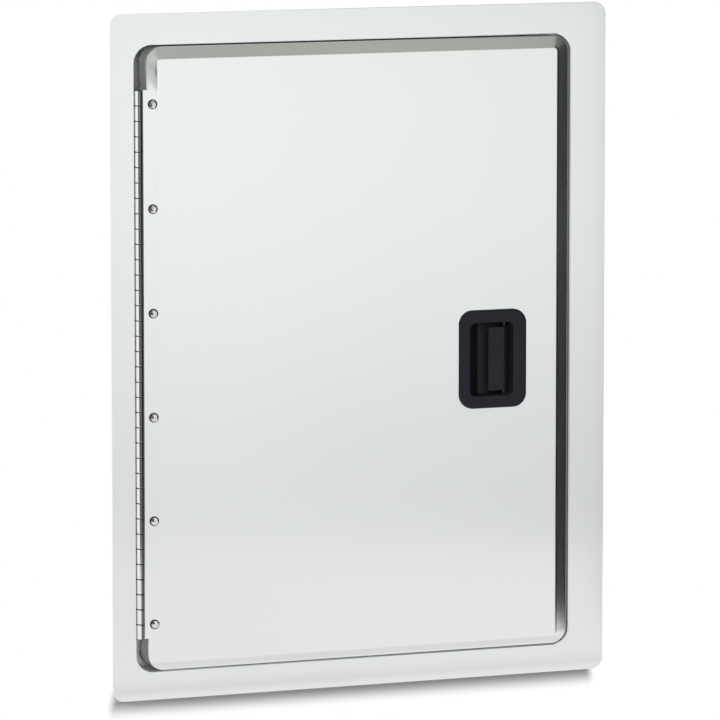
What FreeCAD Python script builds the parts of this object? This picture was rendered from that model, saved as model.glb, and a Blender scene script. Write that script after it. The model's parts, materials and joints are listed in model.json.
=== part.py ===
import FreeCAD, Part
import math
import os

V = FreeCAD.Vector

# Frame: X to the right seen from the front, Y back into the island, Z up.
# The origin is on the flange's seating face, at the middle of its lower run.

# Trim frame
FRAME_WIDTH = 445.0
FRAME_HEIGHT = 572.0
FRAME_SHEET = 1.2
FLANGE_LEFT = 21.0
FLANGE_RIGHT = 32.3
FLANGE_TOP = 26.3
FLANGE_BOTTOM = 23.0
FLANGE_CORNER_RADIUS = 10.0
OPENING_CORNER_RADIUS = 15.0
FRAME_BEND_RADIUS = 1.1
RETURN_DEPTH = 44.0
MOUNT_HOLE_RADIUS = 2.75
MOUNT_HOLE_DEPTH = 38.0
MOUNT_HOLE_SPACING = 360.0

# Door skin: a flat panel flush with the flange, its border sloping back to a lower rim
DOOR_SHEET = 1.2
DOOR_GAP_SIDE = 1.1
DOOR_GAP_TOP = 1.3
DOOR_GAP_BOTTOM = 1.0
DOOR_RETURN_DEPTH = 19.0
HINGE_SIDE_GAP = 7.4
BORDER_DROP = 1.6
BORDER_START = 6.0
BORDER_ANGLE = 9.0
BORDER_LEFT = 10.0
BORDER_RIGHT = 12.0
BORDER_TOP = 11.2
BORDER_BOTTOM = 7.4
BORDER_INNER_CORNER = 2.5
BORDER_SECTIONS = 4
FLARE_LENGTH = 6.0
FLARE_TAPER = 7.0
FLARE_GAP = 0.5

# Piano hinge
PIN_RADIUS = 1.6
PIN_CLEARANCE = 0.05
LEAF_SHEET = 1.5
KNUCKLE_PITCH = 12.7
KNUCKLE_GAP = 0.25
KNUCKLE_NOTCH_GAP = 0.4
LEAF_WIDTH = 17.0
HINGE_FOOT_ROOM = 28.75
HINGE_HEAD_ROOM = 36.0
PIN_END = 0.8

# Rivets
RIVET_COUNT = 6
RIVET_FROM_END = 11.85
RIVET_SHANK_RADIUS = 1.6
RIVET_HEAD_RADIUS = 4.1
RIVET_HEAD_HEIGHT = 2.0
RIVET_TAIL_RADIUS = 2.6
RIVET_TAIL_HEIGHT = 1.4
RIVET_SET = 12.6
RIVET_CLEARANCE = 0.05
FRAME_RIVET_SET = 10.0
FRAME_RIVET_HEAD_RADIUS = 3.2
FRAME_RIVET_HEAD_HEIGHT = 1.2
FRAME_RIVET_TAIL_HEIGHT = 1.0

# Door liner and its stiffening channels
LINER_SHEET = 1.0
LINER_CLEARANCE = 0.2
LINER_WALL = 8.0
LINER_LEFT_SET = 18.6
CHANNEL_COUNT = 2
CHANNEL_PITCH = 96.0
CHANNEL_FROM_LEFT = 98.95
CHANNEL_WIDTH = 40.0
CHANNEL_TOP_WIDTH = 22.0
CHANNEL_SHEET = 0.8
CHANNEL_END_ROOM = 39.75
CHANNEL_CLEARANCE = 0.15
LINER_RIVET_COUNT = 3
LINER_RIVET_FROM_SIDE = 69.8
LINER_RIVET_RADIUS = 1.2
LINER_RIVET_HEAD_RADIUS = 2.4
LINER_RIVET_HEAD_HEIGHT = 0.6
LINER_RIVET_INSET = 3.6

# Door stops and bumpers
STOP_SHEET = 1.2
STOP_FOOT = 12.0
STOP_LIP = 12.0
LATCH_STOP_LIP = 28.0
STOP_END_GAP = 3.0
BUMPER_HEIGHT = 2.2
BUMPER_GAP = 0.3
BUMPER_RADIUS = 4.5
BUMPER_STEM_RADIUS = 2.0
BUMPER_HEAD_RADIUS = 3.0
BUMPER_HEAD_HEIGHT = 1.8
BUMPER_STEM_CLEARANCE = 0.05
BUMPER_FROM_END = 71.35
BUMPER_FROM_HINGE = 70.0
BUMPER_INSET = 6.7
LATCH_BUMPER_INSET = 20.0

# Latch: bezel with finger cup, in black moulded plastic
LATCH_FROM_RIGHT = 105.2
LATCH_FROM_BOTTOM = 272.2
BEZEL_WIDTH = 60.6
BEZEL_OFFSET = 1.9
BEZEL_HEIGHT = 83.6
BEZEL_THICKNESS = 2.6
BEZEL_CORNER_RADIUS = 12.0
BEZEL_EDGE_RADIUS = 1.8
GASKET_THICKNESS = 0.8
GASKET_INSET = 0.6
CUP_WIDTH = 39.0
CUP_HEIGHT = 62.0
CUP_CORNER_RADIUS = 5.0
CUP_DEPTH = 15.0
CUP_WALL = 2.2
CUP_FLOOR = 1.6
CUP_LIP_RADIUS = 1.0
CUTOUT_CLEARANCE = 0.6

# Paddle, turning on a pin across the cup
PIVOT_SET = 15.1
PIVOT_DEPTH = 10.0
PADDLE_PIN_RADIUS = 1.5
PADDLE_PIN_CLEARANCE = 0.05
PADDLE_HUB_RADIUS = 3.6
PADDLE_TURN = 14.0
BAR_WIDTH = 14.2
BAR_HEIGHT = 54.6
BAR_THICKNESS = 3.6
BAR_SET_BACK = 1.0
BAR_FROM_PIVOT = 3.8
BAR_EDGE_RADIUS = 1.2
WEB_THICKNESS = 3.4
WEB_LAP = 1.0
TAIL_THICKNESS = 3.6
TAIL_HEIGHT = 12.0
TAIL_REACH = 18.5
SPRING_POCKET = 7.0
PIN_BOSS_RADIUS = 3.6
PIN_BOSS_HEIGHT = 1.8

# Latch bolt, its housing and the strike
BOLT_HEIGHT = 16.0
BOLT_THICKNESS = 7.0
BOLT_CLEARANCE = 0.35
BOLT_BEVEL = 5.0
BOLT_BACK = 14.0
BOLT_SHOULDER = 6.0
BOLT_SHOULDER_STEP = 3.0
BOLT_REACH = 4.0
TAIL_SLACK = 0.25
POCKET_FAR_SIDE = 3.4
POCKET_FLOOR = 1.8
RIB_THICKNESS = 2.0
HOUSING_WALL = 2.0
HOUSING_SIDE_ROOM = 5.7
HOUSING_END_ROOM = 2.8
HOUSING_CORNER_RADIUS = 5.0
BOSS_RADIUS = 3.0
BOSS_X = 14.0
BOSS_Z = 24.0
LATCH_SCREW_RADIUS = 1.4
LATCH_SCREW_DEPTH = 6.0
LATCH_SCREW_HEAD_RADIUS = 2.8
LATCH_SCREW_HEAD_HEIGHT = 1.8
SCREW_CLEARANCE = 0.05
SCREW_HOLE_CLEARANCE = 0.3
SOCKET_DEPTH = 1.0
SOCKET_RADIUS = 1.2
STRIKE_SHEET = 1.5
STRIKE_HEIGHT = 52.0
STRIKE_WIDTH = 14.0
STRIKE_CLEARANCE = 0.8
STRIKE_SLOT = 5.0
STRIKE_SCREW_SPACING = 38.0
STRIKE_SCREW_RADIUS = 1.75
STRIKE_SCREW_HEAD_RADIUS = 3.4
STRIKE_SCREW_HEAD_HEIGHT = 1.6
NOTCH_CLEARANCE = 3.0

# How near a point counts as lying on a face when edges are picked for rounding
TOUCH = 0.01
EDGE_SAMPLES = 5

# Springs
BOLT_SPRING_RADIUS = 3.0
BOLT_SPRING_WIRE = 0.4
BOLT_SPRING_TURNS = 6
SPRING_END_GAP = 0.3
SPRING_GUIDE_RADIUS = 1.8
SPRING_GUIDE_LENGTH = 5.0
PADDLE_SPRING_WIRE = 0.4
PADDLE_SPRING_RADIUS = 2.4
PADDLE_SPRING_TURNS = 4
COIL_STEPS = 10
WIRE_SIDES = 6

# Places that follow from the sizes above
front = -FRAME_SHEET
x_left = -FRAME_WIDTH / 2
x_right = FRAME_WIDTH / 2
z_bottom = -(FLANGE_BOTTOM - FRAME_SHEET) / 2
z_top = z_bottom + FRAME_HEIGHT
open_left = x_left + FLANGE_LEFT
open_right = x_right - FLANGE_RIGHT
open_bottom = z_bottom + FLANGE_BOTTOM
open_top = z_top - FLANGE_TOP
z_middle = (open_bottom + open_top) / 2

barrel_radius = PIN_RADIUS + PIN_CLEARANCE + LEAF_SHEET
skin_back = front + DOOR_SHEET
hinge_x = open_left + barrel_radius
hinge_y = skin_back + LEAF_SHEET - barrel_radius
hinge_room = open_top - open_bottom - HINGE_FOOT_ROOM - HINGE_HEAD_ROOM
knuckle_count = int(hinge_room // KNUCKLE_PITCH)
hinge_bottom = open_bottom + HINGE_FOOT_ROOM
hinge_top = hinge_bottom + knuckle_count * KNUCKLE_PITCH

door_left = hinge_x + HINGE_SIDE_GAP
door_right = open_right - DOOR_GAP_SIDE
door_bottom = open_bottom + DOOR_GAP_BOTTOM
door_top = open_top - DOOR_GAP_TOP
door_corner = OPENING_CORNER_RADIUS - DOOR_GAP_SIDE
door_back = front + DOOR_RETURN_DEPTH
rim_front = front + BORDER_DROP
edge_angle = math.radians(BORDER_START)
rim_angle = math.radians(BORDER_ANGLE)
tab_left = hinge_x + barrel_radius + KNUCKLE_NOTCH_GAP

stop_front = door_back + BUMPER_HEIGHT
stop_back = stop_front + STOP_SHEET

latch_x = x_right - LATCH_FROM_RIGHT
latch_z = z_bottom + LATCH_FROM_BOTTOM
bezel_back = front - GASKET_THICKNESS
bezel_front = bezel_back - BEZEL_THICKNESS
cup_floor_front = bezel_front + CUP_DEPTH
cup_back = cup_floor_front + CUP_FLOOR
cup_half_x = CUP_WIDTH / 2 + CUP_WALL
cup_half_z = CUP_HEIGHT / 2 + CUP_WALL
pivot_x = latch_x + PIVOT_SET
pivot_y = bezel_front + PIVOT_DEPTH
boss_reach = cup_half_z + PIN_BOSS_HEIGHT
housing_half_x = cup_half_x + HOUSING_SIDE_ROOM + HOUSING_WALL
housing_half_z = boss_reach + HOUSING_END_ROOM + HOUSING_WALL
cutout_half_x = cup_half_x + CUTOUT_CLEARANCE
cutout_half_z = boss_reach + CUTOUT_CLEARANCE
bolt_front = max(cup_back, stop_back) + BOLT_CLEARANCE
bolt_back = bolt_front + BOLT_THICKNESS
bolt_middle = (bolt_front + bolt_back) / 2
housing_inside = bolt_back + BOLT_CLEARANCE
housing_back = housing_inside + HOUSING_WALL
lip_edge = open_right - LATCH_STOP_LIP
bolt_left = latch_x - BOLT_BACK
bolt_tip = lip_edge + BOLT_REACH
strike_edge = bolt_tip + STRIKE_CLEARANCE


def box(x0, x1, y0, y1, z0, z1):
    return Part.makeBox(x1 - x0, y1 - y0, z1 - z0, V(x0, y0, z0))


def corner_arc(cx, cz, radius, start, y):
    """A quarter arc in a plane of constant Y, running clockwise seen from the front."""
    points = []
    for step in (0, 45, 90):
        angle = math.radians(start - step)
        points.append(V(cx + radius * math.cos(angle), y, cz + radius * math.sin(angle)))
    return Part.Arc(*points).toShape()


def line(start, end):
    return Part.LineSegment(start, end).toShape()


def rounded_wire(x0, x1, z0, z1, radius, y):
    """A rectangle with rounded corners, from the top left corner clockwise."""
    arcs = [
        corner_arc(x0 + radius, z1 - radius, radius, 180, y),
        corner_arc(x1 - radius, z1 - radius, radius, 90, y),
        corner_arc(x1 - radius, z0 + radius, radius, 0, y),
        corner_arc(x0 + radius, z0 + radius, radius, -90, y),
    ]
    edges = []
    for n, arc in enumerate(arcs):
        following = arcs[(n + 1) % len(arcs)]
        edges.append(arc)
        edges.append(line(arc.Vertexes[-1].Point, following.Vertexes[0].Point))
    return Part.Wire(edges)


def rounded_block(x0, x1, z0, z1, radius, y0, y1):
    return Part.Face(rounded_wire(x0, x1, z0, z1, radius, y0)).extrude(V(0, y1 - y0, 0))


def latch_block(half_x, half_z, radius, y0, y1):
    return rounded_block(
        latch_x - half_x, latch_x + half_x, latch_z - half_z, latch_z + half_z, radius, y0, y1
    )


def rod(radius, start, axis, length):
    return Part.makeCylinder(radius, length, start, axis)


def fillet_near(shape, radius, chosen):
    """Round the edges whose every point passes the test."""
    edges = []
    for edge in shape.Edges:
        points = edge.discretize(EDGE_SAMPLES)
        if all(chosen(point) for point in points):
            edges.append(edge)
    return shape.makeFillet(radius, edges)


def profile(points, z0, height):
    """A prism along Z from a closed outline of straight runs in the XY plane."""
    corners = [V(x, y, z0) for x, y in points]
    return Part.Face(Part.makePolygon(corners + corners[:1])).extrude(V(0, 0, height))


def centred_places(count, pitch, middle):
    first = middle - pitch * (count - 1) / 2
    return [first + pitch * n for n in range(count)]


def spread_places(count, start, end):
    return [start + (end - start) * n / (count - 1) for n in range(count)]


def hinge_rivet_places():
    return spread_places(RIVET_COUNT, hinge_bottom + RIVET_FROM_END, hinge_top - RIVET_FROM_END)


def trim_frame():
    flange = rounded_block(
        x_left, x_right, z_bottom, z_top, FLANGE_CORNER_RADIUS, front, 0
    )
    sleeve = rounded_block(
        open_left - FRAME_SHEET,
        open_right + FRAME_SHEET,
        open_bottom - FRAME_SHEET,
        open_top + FRAME_SHEET,
        OPENING_CORNER_RADIUS + FRAME_SHEET,
        front,
        RETURN_DEPTH,
    )
    hole = rounded_block(
        open_left, open_right, open_bottom, open_top, OPENING_CORNER_RADIUS, front, RETURN_DEPTH
    )
    shape = flange.fuse(sleeve).removeSplitter().cut(hole)

    def on_opening_edge(point):
        inside = open_left - TOUCH <= point.x <= open_right + TOUCH
        level = open_bottom - TOUCH <= point.z <= open_top + TOUCH
        return abs(point.y - front) < TOUCH and inside and level

    shape = fillet_near(shape, FRAME_BEND_RADIUS, on_opening_edge)
    for z in centred_places(2, MOUNT_HOLE_SPACING, z_middle):
        drill = rod(MOUNT_HOLE_RADIUS, V(x_left, MOUNT_HOLE_DEPTH, z), V(1, 0, 0), FRAME_WIDTH)
        shape = shape.cut(drill)
    for z in hinge_rivet_places():
        radius = RIVET_SHANK_RADIUS + RIVET_CLEARANCE
        place = V(open_left - FRAME_SHEET, hinge_y + FRAME_RIVET_SET, z)
        shape = shape.cut(rod(radius, place, V(1, 0, 0), FRAME_SHEET))
    return shape


def knuckle_set(first, leaf_side):
    """Every second knuckle, with the short tongue that leads to its leaf."""
    knuckles = []
    length = KNUCKLE_PITCH - KNUCKLE_GAP
    reach = barrel_radius + KNUCKLE_NOTCH_GAP
    for n in range(first, knuckle_count, 2):
        z0 = hinge_bottom + n * KNUCKLE_PITCH + KNUCKLE_GAP / 2
        ring = rod(barrel_radius, V(hinge_x, hinge_y, z0), V(0, 0, 1), length)
        if leaf_side == "frame":
            inner = hinge_x - barrel_radius + LEAF_SHEET
            tongue = box(hinge_x - barrel_radius, inner, hinge_y, hinge_y + reach, z0, z0 + length)
        else:
            inner = hinge_y + barrel_radius - LEAF_SHEET
            tongue = box(hinge_x, hinge_x + reach, inner, hinge_y + barrel_radius, z0, z0 + length)
        bore = rod(PIN_RADIUS + PIN_CLEARANCE, V(hinge_x, hinge_y, z0), V(0, 0, 1), length)
        knuckles.append(ring.fuse(tongue).cut(bore))
    return knuckles


def hinge_frame_leaf():
    leaf = box(
        open_left,
        open_left + LEAF_SHEET,
        hinge_y + barrel_radius + KNUCKLE_NOTCH_GAP,
        hinge_y + LEAF_WIDTH,
        hinge_bottom,
        hinge_top,
    )
    shape = leaf.multiFuse(knuckle_set(0, "frame")).removeSplitter()
    for z in hinge_rivet_places():
        radius = RIVET_SHANK_RADIUS + RIVET_CLEARANCE
        place = V(open_left, hinge_y + FRAME_RIVET_SET, z)
        shape = shape.cut(rod(radius, place, V(1, 0, 0), LEAF_SHEET))
    return shape


def hinge_door_leaf():
    leaf = box(
        tab_left,
        hinge_x + LEAF_WIDTH,
        skin_back,
        skin_back + LEAF_SHEET,
        hinge_bottom,
        hinge_top,
    )
    shape = leaf.multiFuse(knuckle_set(1, "door")).removeSplitter()
    for z in hinge_rivet_places():
        radius = RIVET_SHANK_RADIUS + RIVET_CLEARANCE
        place = V(hinge_x + RIVET_SET, skin_back, z)
        shape = shape.cut(rod(radius, place, V(0, 1, 0), LEAF_SHEET))
    return shape


def hinge_pin():
    start = V(hinge_x, hinge_y, hinge_bottom - PIN_END)
    pin = rod(PIN_RADIUS, start, V(0, 0, 1), hinge_top - hinge_bottom + 2 * PIN_END)
    return pin.makeChamfer(PIN_END / 2, [edge for edge in pin.Edges if len(edge.Vertexes) == 1])


def domed_head(radius, height, centre, axis):
    """A low dome with a flat seat at the centre given, rising along the axis."""
    sphere_radius = (radius**2 + height**2) / (2 * height)
    start = math.acos(1 - height / sphere_radius)
    arc = Part.Arc(
        V(radius, 0, 0),
        V(
            sphere_radius * math.sin(start / 2),
            0,
            height - sphere_radius * (1 - math.cos(start / 2)),
        ),
        V(0, 0, height),
    ).toShape()
    edges = [line(V(0, 0, 0), V(radius, 0, 0)), arc, line(V(0, 0, height), V(0, 0, 0))]
    dome = Part.Face(Part.Wire(edges)).revolve(V(0, 0, 0), V(0, 0, 1), 360)
    dome.Placement = FreeCAD.Placement(centre, FreeCAD.Rotation(V(0, 0, 1), axis))
    return dome


def rivet(seat, axis, grip, head_radius, head_height, tail_height):
    """A rivet whose domed head sits at the seat and whose shank runs against the axis."""
    head = domed_head(head_radius, head_height, seat, axis)
    shank = rod(RIVET_SHANK_RADIUS, seat, -axis, grip)
    tail = rod(RIVET_TAIL_RADIUS, seat - axis * grip, -axis, tail_height)
    return head.fuse([shank, tail]).removeSplitter()


def door_rivets():
    grip = DOOR_SHEET + LEAF_SHEET
    rivets = []
    for z in hinge_rivet_places():
        seat = V(hinge_x + RIVET_SET, front, z)
        rivets.append(
            rivet(seat, V(0, -1, 0), grip, RIVET_HEAD_RADIUS, RIVET_HEAD_HEIGHT, RIVET_TAIL_HEIGHT)
        )
    return Part.makeCompound(rivets)


def frame_leaf_rivets():
    grip = FRAME_SHEET + LEAF_SHEET
    rivets = []
    for z in hinge_rivet_places():
        seat = V(open_left + LEAF_SHEET, hinge_y + FRAME_RIVET_SET, z)
        rivets.append(
            rivet(
                seat,
                V(1, 0, 0),
                grip,
                FRAME_RIVET_HEAD_RADIUS,
                FRAME_RIVET_HEAD_HEIGHT,
                FRAME_RIVET_TAIL_HEIGHT,
            )
        )
    return Part.makeCompound(rivets)


def border_wire(angle, sheet):
    """The skin's outline where its sloping border leans back by the angle.

    A sheet gives the skin's inner side. Beside the hinge the border lies flat, so past
    each end of the hinge the outline flares out to the door's edge.
    """
    lean = (math.sin(angle) - math.sin(edge_angle)) / (math.sin(rim_angle) - math.sin(edge_angle))
    sink = (math.cos(edge_angle) - math.cos(angle)) / (math.cos(edge_angle) - math.cos(rim_angle))
    inset = sheet * lean
    setback = (sheet - inset * math.sin(angle)) * math.cos(edge_angle) / math.cos(angle)
    y = front + BORDER_DROP * sink + setback
    left = door_left + (1 - lean) * BORDER_LEFT + inset
    right = door_right - (1 - lean) * BORDER_RIGHT - inset
    top = door_top - (1 - lean) * BORDER_TOP - inset
    bottom = door_bottom + (1 - lean) * BORDER_BOTTOM + inset
    radius = BORDER_INNER_CORNER + lean * (door_corner - sheet - BORDER_INNER_CORNER)
    arcs = [
        corner_arc(left + radius, top - radius, radius, 180, y),
        corner_arc(right - radius, top - radius, radius, 90, y),
        corner_arc(right - radius, bottom + radius, radius, 0, y),
        corner_arc(left + radius, bottom + radius, radius, -90, y),
    ]
    low = hinge_bottom - FLARE_GAP - FLARE_TAPER * sink
    high = hinge_top + FLARE_GAP + FLARE_TAPER * sink
    stops = [
        V(left, y, low - FLARE_LENGTH),
        V(door_left + sheet, y, low),
        V(door_left + sheet, y, high),
        V(left, y, high + FLARE_LENGTH),
    ]
    edges = []
    for arc, following in zip(arcs[:3], arcs[1:]):
        edges.append(arc)
        edges.append(line(arc.Vertexes[-1].Point, following.Vertexes[0].Point))
    edges.append(arcs[3])
    edges.append(line(arcs[3].Vertexes[-1].Point, stops[0]))
    edges.append(flare(stops[0], stops[1]))
    edges.append(line(stops[1], stops[2]))
    edges.append(flare(stops[2], stops[3]))
    edges.append(line(stops[3], arcs[0].Vertexes[0].Point))
    return Part.Wire(edges)


def flare(start, end):
    """A smooth S between two upright runs."""
    lift = V(0, 0, (end.z - start.z) / 2)
    curve = Part.BezierCurve()
    curve.setPoles([start, start + lift, end - lift, end])
    return curve.toBSpline().toShape()


def door_body(sheet):
    """The door as one block, from the panel back over the sloping border, less a sheet."""
    angles = spread_places(BORDER_SECTIONS + 1, edge_angle, rim_angle)
    wires = [border_wire(angle, sheet) for angle in angles]
    rim = wires[-1].Vertexes[0].Point.y
    box_part = rounded_block(
        door_left + sheet,
        door_right - sheet,
        door_bottom + sheet,
        door_top - sheet,
        door_corner - sheet,
        rim,
        door_back,
    )
    return Part.makeLoft(wires, True, False).fuse(box_part)


def door_pan():
    shell = door_body(0).cut(door_body(DOOR_SHEET))
    shell = shell.cut(
        box(
            door_left,
            door_left + DOOR_SHEET,
            skin_back,
            door_back,
            hinge_bottom - KNUCKLE_GAP,
            hinge_top + KNUCKLE_GAP,
        )
    )
    tab = box(tab_left, door_left + DOOR_SHEET, front, skin_back, hinge_bottom, hinge_top)
    shape = shell.fuse(tab).removeSplitter()
    for z in hinge_rivet_places():
        place = V(hinge_x + RIVET_SET, front, z)
        shape = shape.cut(rod(RIVET_SHANK_RADIUS + RIVET_CLEARANCE, place, V(0, 1, 0), DOOR_SHEET))
    cutout = latch_block(cutout_half_x, cutout_half_z, CUP_CORNER_RADIUS, front, door_back)
    shape = shape.cut(cutout)
    for drill in liner_rivet_drills():
        shape = shape.cut(drill)
    return shape


def liner_rivet_seats():
    """Places on the door's upper and lower returns, with the direction out of the door."""
    left = door_left + LINER_RIVET_FROM_SIDE
    right = door_right - LINER_RIVET_FROM_SIDE
    depth = door_back - LINER_RIVET_INSET
    seats = []
    for x in spread_places(LINER_RIVET_COUNT, left, right):
        seats.append((V(x, depth, door_top), V(0, 0, 1)))
        seats.append((V(x, depth, door_bottom), V(0, 0, -1)))
    return seats


def liner_rivet_drills():
    length = DOOR_SHEET + LINER_CLEARANCE + LINER_SHEET
    radius = LINER_RIVET_RADIUS + RIVET_CLEARANCE
    return [rod(radius, seat, -axis, length) for seat, axis in liner_rivet_seats()]


def liner_rivets():
    grip = DOOR_SHEET + LINER_CLEARANCE + LINER_SHEET
    rivets = []
    for seat, axis in liner_rivet_seats():
        head = domed_head(LINER_RIVET_HEAD_RADIUS, LINER_RIVET_HEAD_HEIGHT, seat, axis)
        shank = rod(LINER_RIVET_RADIUS, seat, -axis, grip)
        tail = rod(LINER_RIVET_HEAD_RADIUS, seat - axis * grip, -axis, LINER_RIVET_HEAD_HEIGHT)
        rivets.append(head.fuse([shank, tail]).removeSplitter())
    return Part.makeCompound(rivets)


def liner_block(inset, y0, y1):
    edge = DOOR_SHEET + LINER_CLEARANCE + inset
    return rounded_block(
        hinge_x + LINER_LEFT_SET + inset,
        door_right - edge,
        door_bottom + edge,
        door_top - edge,
        door_corner - edge,
        y0,
        y1,
    )


def door_liner():
    tray_front = door_back - LINER_WALL
    tray = liner_block(0, tray_front, door_back)
    tray = tray.cut(liner_block(LINER_SHEET, tray_front, door_back - LINER_SHEET))
    half_x = housing_half_x + CUTOUT_CLEARANCE
    half_z = housing_half_z + CUTOUT_CLEARANCE
    tray = tray.cut(latch_block(half_x, half_z, HOUSING_CORNER_RADIUS, tray_front, door_back))
    for drill in liner_rivet_drills():
        tray = tray.cut(drill)
    return tray


def door_stiffeners():
    """Hat channels that stand between the panel and the liner."""
    low = skin_back + CHANNEL_CLEARANCE
    high = door_back - LINER_SHEET - CHANNEL_CLEARANCE
    half = CHANNEL_WIDTH / 2
    crown = CHANNEL_TOP_WIDTH / 2
    sheet = CHANNEL_SHEET
    bottom = door_bottom + CHANNEL_END_ROOM
    top = door_top - CHANNEL_END_ROOM
    channels = []
    for n in range(CHANNEL_COUNT):
        x = door_left + CHANNEL_FROM_LEFT + n * CHANNEL_PITCH
        outline = [
            (x - half, low),
            (x - crown, low),
            (x - crown + sheet, high - sheet),
            (x + crown - sheet, high - sheet),
            (x + crown, low),
            (x + half, low),
            (x + half, low + sheet),
            (x + crown + sheet, low + sheet),
            (x + crown, high),
            (x - crown, high),
            (x - crown - sheet, low + sheet),
            (x - half, low + sheet),
        ]
        channels.append(profile(outline, bottom, top - bottom))
    return Part.makeCompound(channels)


def bumper_places():
    """Two pads at the latch side, and one above and one below near the hinge."""
    latch_line = open_right - LATCH_BUMPER_INSET
    near_hinge = hinge_x + BUMPER_FROM_HINGE
    low = open_bottom + BUMPER_FROM_END
    high = open_top - BUMPER_FROM_END
    places = [V(latch_line, 0, low), V(latch_line, 0, high)]
    places.append(V(near_hinge, 0, open_top - BUMPER_INSET))
    places.append(V(near_hinge, 0, open_bottom + BUMPER_INSET))
    return places


def drill_bumpers(shape):
    radius = BUMPER_STEM_RADIUS + BUMPER_STEM_CLEARANCE
    for place in bumper_places():
        start = V(place.x, stop_front, place.z)
        shape = shape.cut(rod(radius, start, V(0, 1, 0), STOP_SHEET))
    return shape


def level_stop(wall, inward):
    """An angle strip along the upper or lower return, its lip behind the door."""
    right = lip_edge - STOP_END_GAP
    z_foot = sorted((wall, wall + inward * STOP_SHEET))
    z_lip = sorted((wall, wall + inward * STOP_LIP))
    left = open_left + OPENING_CORNER_RADIUS
    foot = box(left, right, stop_front, stop_front + STOP_FOOT, z_foot[0], z_foot[1])
    lip = box(left, right, stop_front, stop_back, z_lip[0], z_lip[1])
    return drill_bumpers(foot.fuse(lip).removeSplitter())


def top_stop():
    return level_stop(open_top, -1)


def bottom_stop():
    return level_stop(open_bottom, 1)


def hinge_side_stop():
    """The angle strip behind the hinge, which closes the gap beside the door."""
    low = open_bottom + OPENING_CORNER_RADIUS
    high = open_top - OPENING_CORNER_RADIUS
    foot = box(open_left, open_left + STOP_SHEET, stop_front, stop_front + STOP_FOOT, low, high)
    lip = box(open_left, open_left + STOP_LIP, stop_front, stop_back, low, high)
    return foot.fuse(lip).removeSplitter()


def latch_side_stop():
    """The angle strip at the latch side, notched where the bolt passes."""
    low = open_bottom + OPENING_CORNER_RADIUS
    high = open_top - OPENING_CORNER_RADIUS
    foot = box(
        open_right - STOP_SHEET, open_right, stop_front, stop_front + STOP_FOOT, low, high
    )
    lip = box(lip_edge, open_right, stop_front, stop_back, low, high)
    shape = foot.fuse(lip).removeSplitter()
    half = BOLT_HEIGHT / 2 + NOTCH_CLEARANCE
    notch_edge = strike_edge + NOTCH_CLEARANCE
    notch = box(lip_edge, notch_edge, stop_front, stop_back, latch_z - half, latch_z + half)
    shape = shape.cut(notch)
    for z in centred_places(2, STRIKE_SCREW_SPACING, latch_z):
        start = V(strike_screw_x(), stop_front, z)
        drill = rod(STRIKE_SCREW_RADIUS + SCREW_CLEARANCE, start, V(0, 1, 0), STOP_SHEET)
        shape = shape.cut(drill)
    return drill_bumpers(shape)


def strike_screw_x():
    return strike_edge + STRIKE_WIDTH / 2 + STRIKE_SLOT / 2


def strike_plate():
    """Behind the lip, held through level slots that let it slide in and out."""
    half = STRIKE_HEIGHT / 2
    plate = rounded_block(
        strike_edge,
        strike_edge + STRIKE_WIDTH + STRIKE_SLOT,
        latch_z - half,
        latch_z + half,
        STRIKE_SHEET,
        stop_back,
        stop_back + STRIKE_SHEET,
    )
    for z in centred_places(2, STRIKE_SCREW_SPACING, latch_z):
        plate = plate.cut(strike_slot(z))
    return plate


def strike_slot(z):
    radius = STRIKE_SCREW_RADIUS + SCREW_CLEARANCE
    ends = []
    for x in centred_places(2, STRIKE_SLOT, strike_screw_x()):
        ends.append(rod(radius, V(x, stop_back, z), V(0, 1, 0), STRIKE_SHEET))
    x0 = strike_screw_x() - STRIKE_SLOT / 2
    x1 = strike_screw_x() + STRIKE_SLOT / 2
    middle = box(x0, x1, stop_back, stop_back + STRIKE_SHEET, z - radius, z + radius)
    return middle.fuse(ends)


def screw(seat, axis, radius, length, head_radius, head_height):
    """A pan-head screw whose head rises from the seat along the axis."""
    head = rod(head_radius, seat, axis, head_height)
    crown = [edge for edge in head.Edges if (edge.CenterOfMass - seat).dot(axis) > head_height / 2]
    crown = [edge for edge in crown if len(edge.Vertexes) == 1]
    head = head.makeFillet(head_height / 2, crown)
    socket = rod(SOCKET_RADIUS, seat + axis * (head_height - SOCKET_DEPTH), axis, SOCKET_DEPTH)
    shank = rod(radius, seat, -axis, length)
    return head.fuse(shank).removeSplitter().cut(socket)


def strike_screws():
    grip = STRIKE_SHEET + STOP_SHEET
    screws = []
    for z in centred_places(2, STRIKE_SCREW_SPACING, latch_z):
        seat = V(strike_screw_x(), stop_back + STRIKE_SHEET, z)
        screws.append(
            screw(
                seat,
                V(0, 1, 0),
                STRIKE_SCREW_RADIUS,
                grip,
                STRIKE_SCREW_HEAD_RADIUS,
                STRIKE_SCREW_HEAD_HEIGHT,
            )
        )
    return Part.makeCompound(screws)


def bumpers():
    pads = []
    for place in bumper_places():
        face = V(place.x, door_back + BUMPER_GAP, place.z)
        seat = V(place.x, stop_front, place.z)
        tail = V(place.x, stop_back, place.z)
        pad = rod(BUMPER_RADIUS, face, V(0, 1, 0), BUMPER_HEIGHT - BUMPER_GAP)
        stem = rod(BUMPER_STEM_RADIUS, seat, V(0, 1, 0), STOP_SHEET)
        cone = Part.makeCone(
            BUMPER_HEAD_RADIUS, BUMPER_STEM_RADIUS, BUMPER_HEAD_HEIGHT, tail, V(0, 1, 0)
        )
        pads.append(pad.fuse([stem, cone]).removeSplitter())
    return Part.makeCompound(pads)


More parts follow.
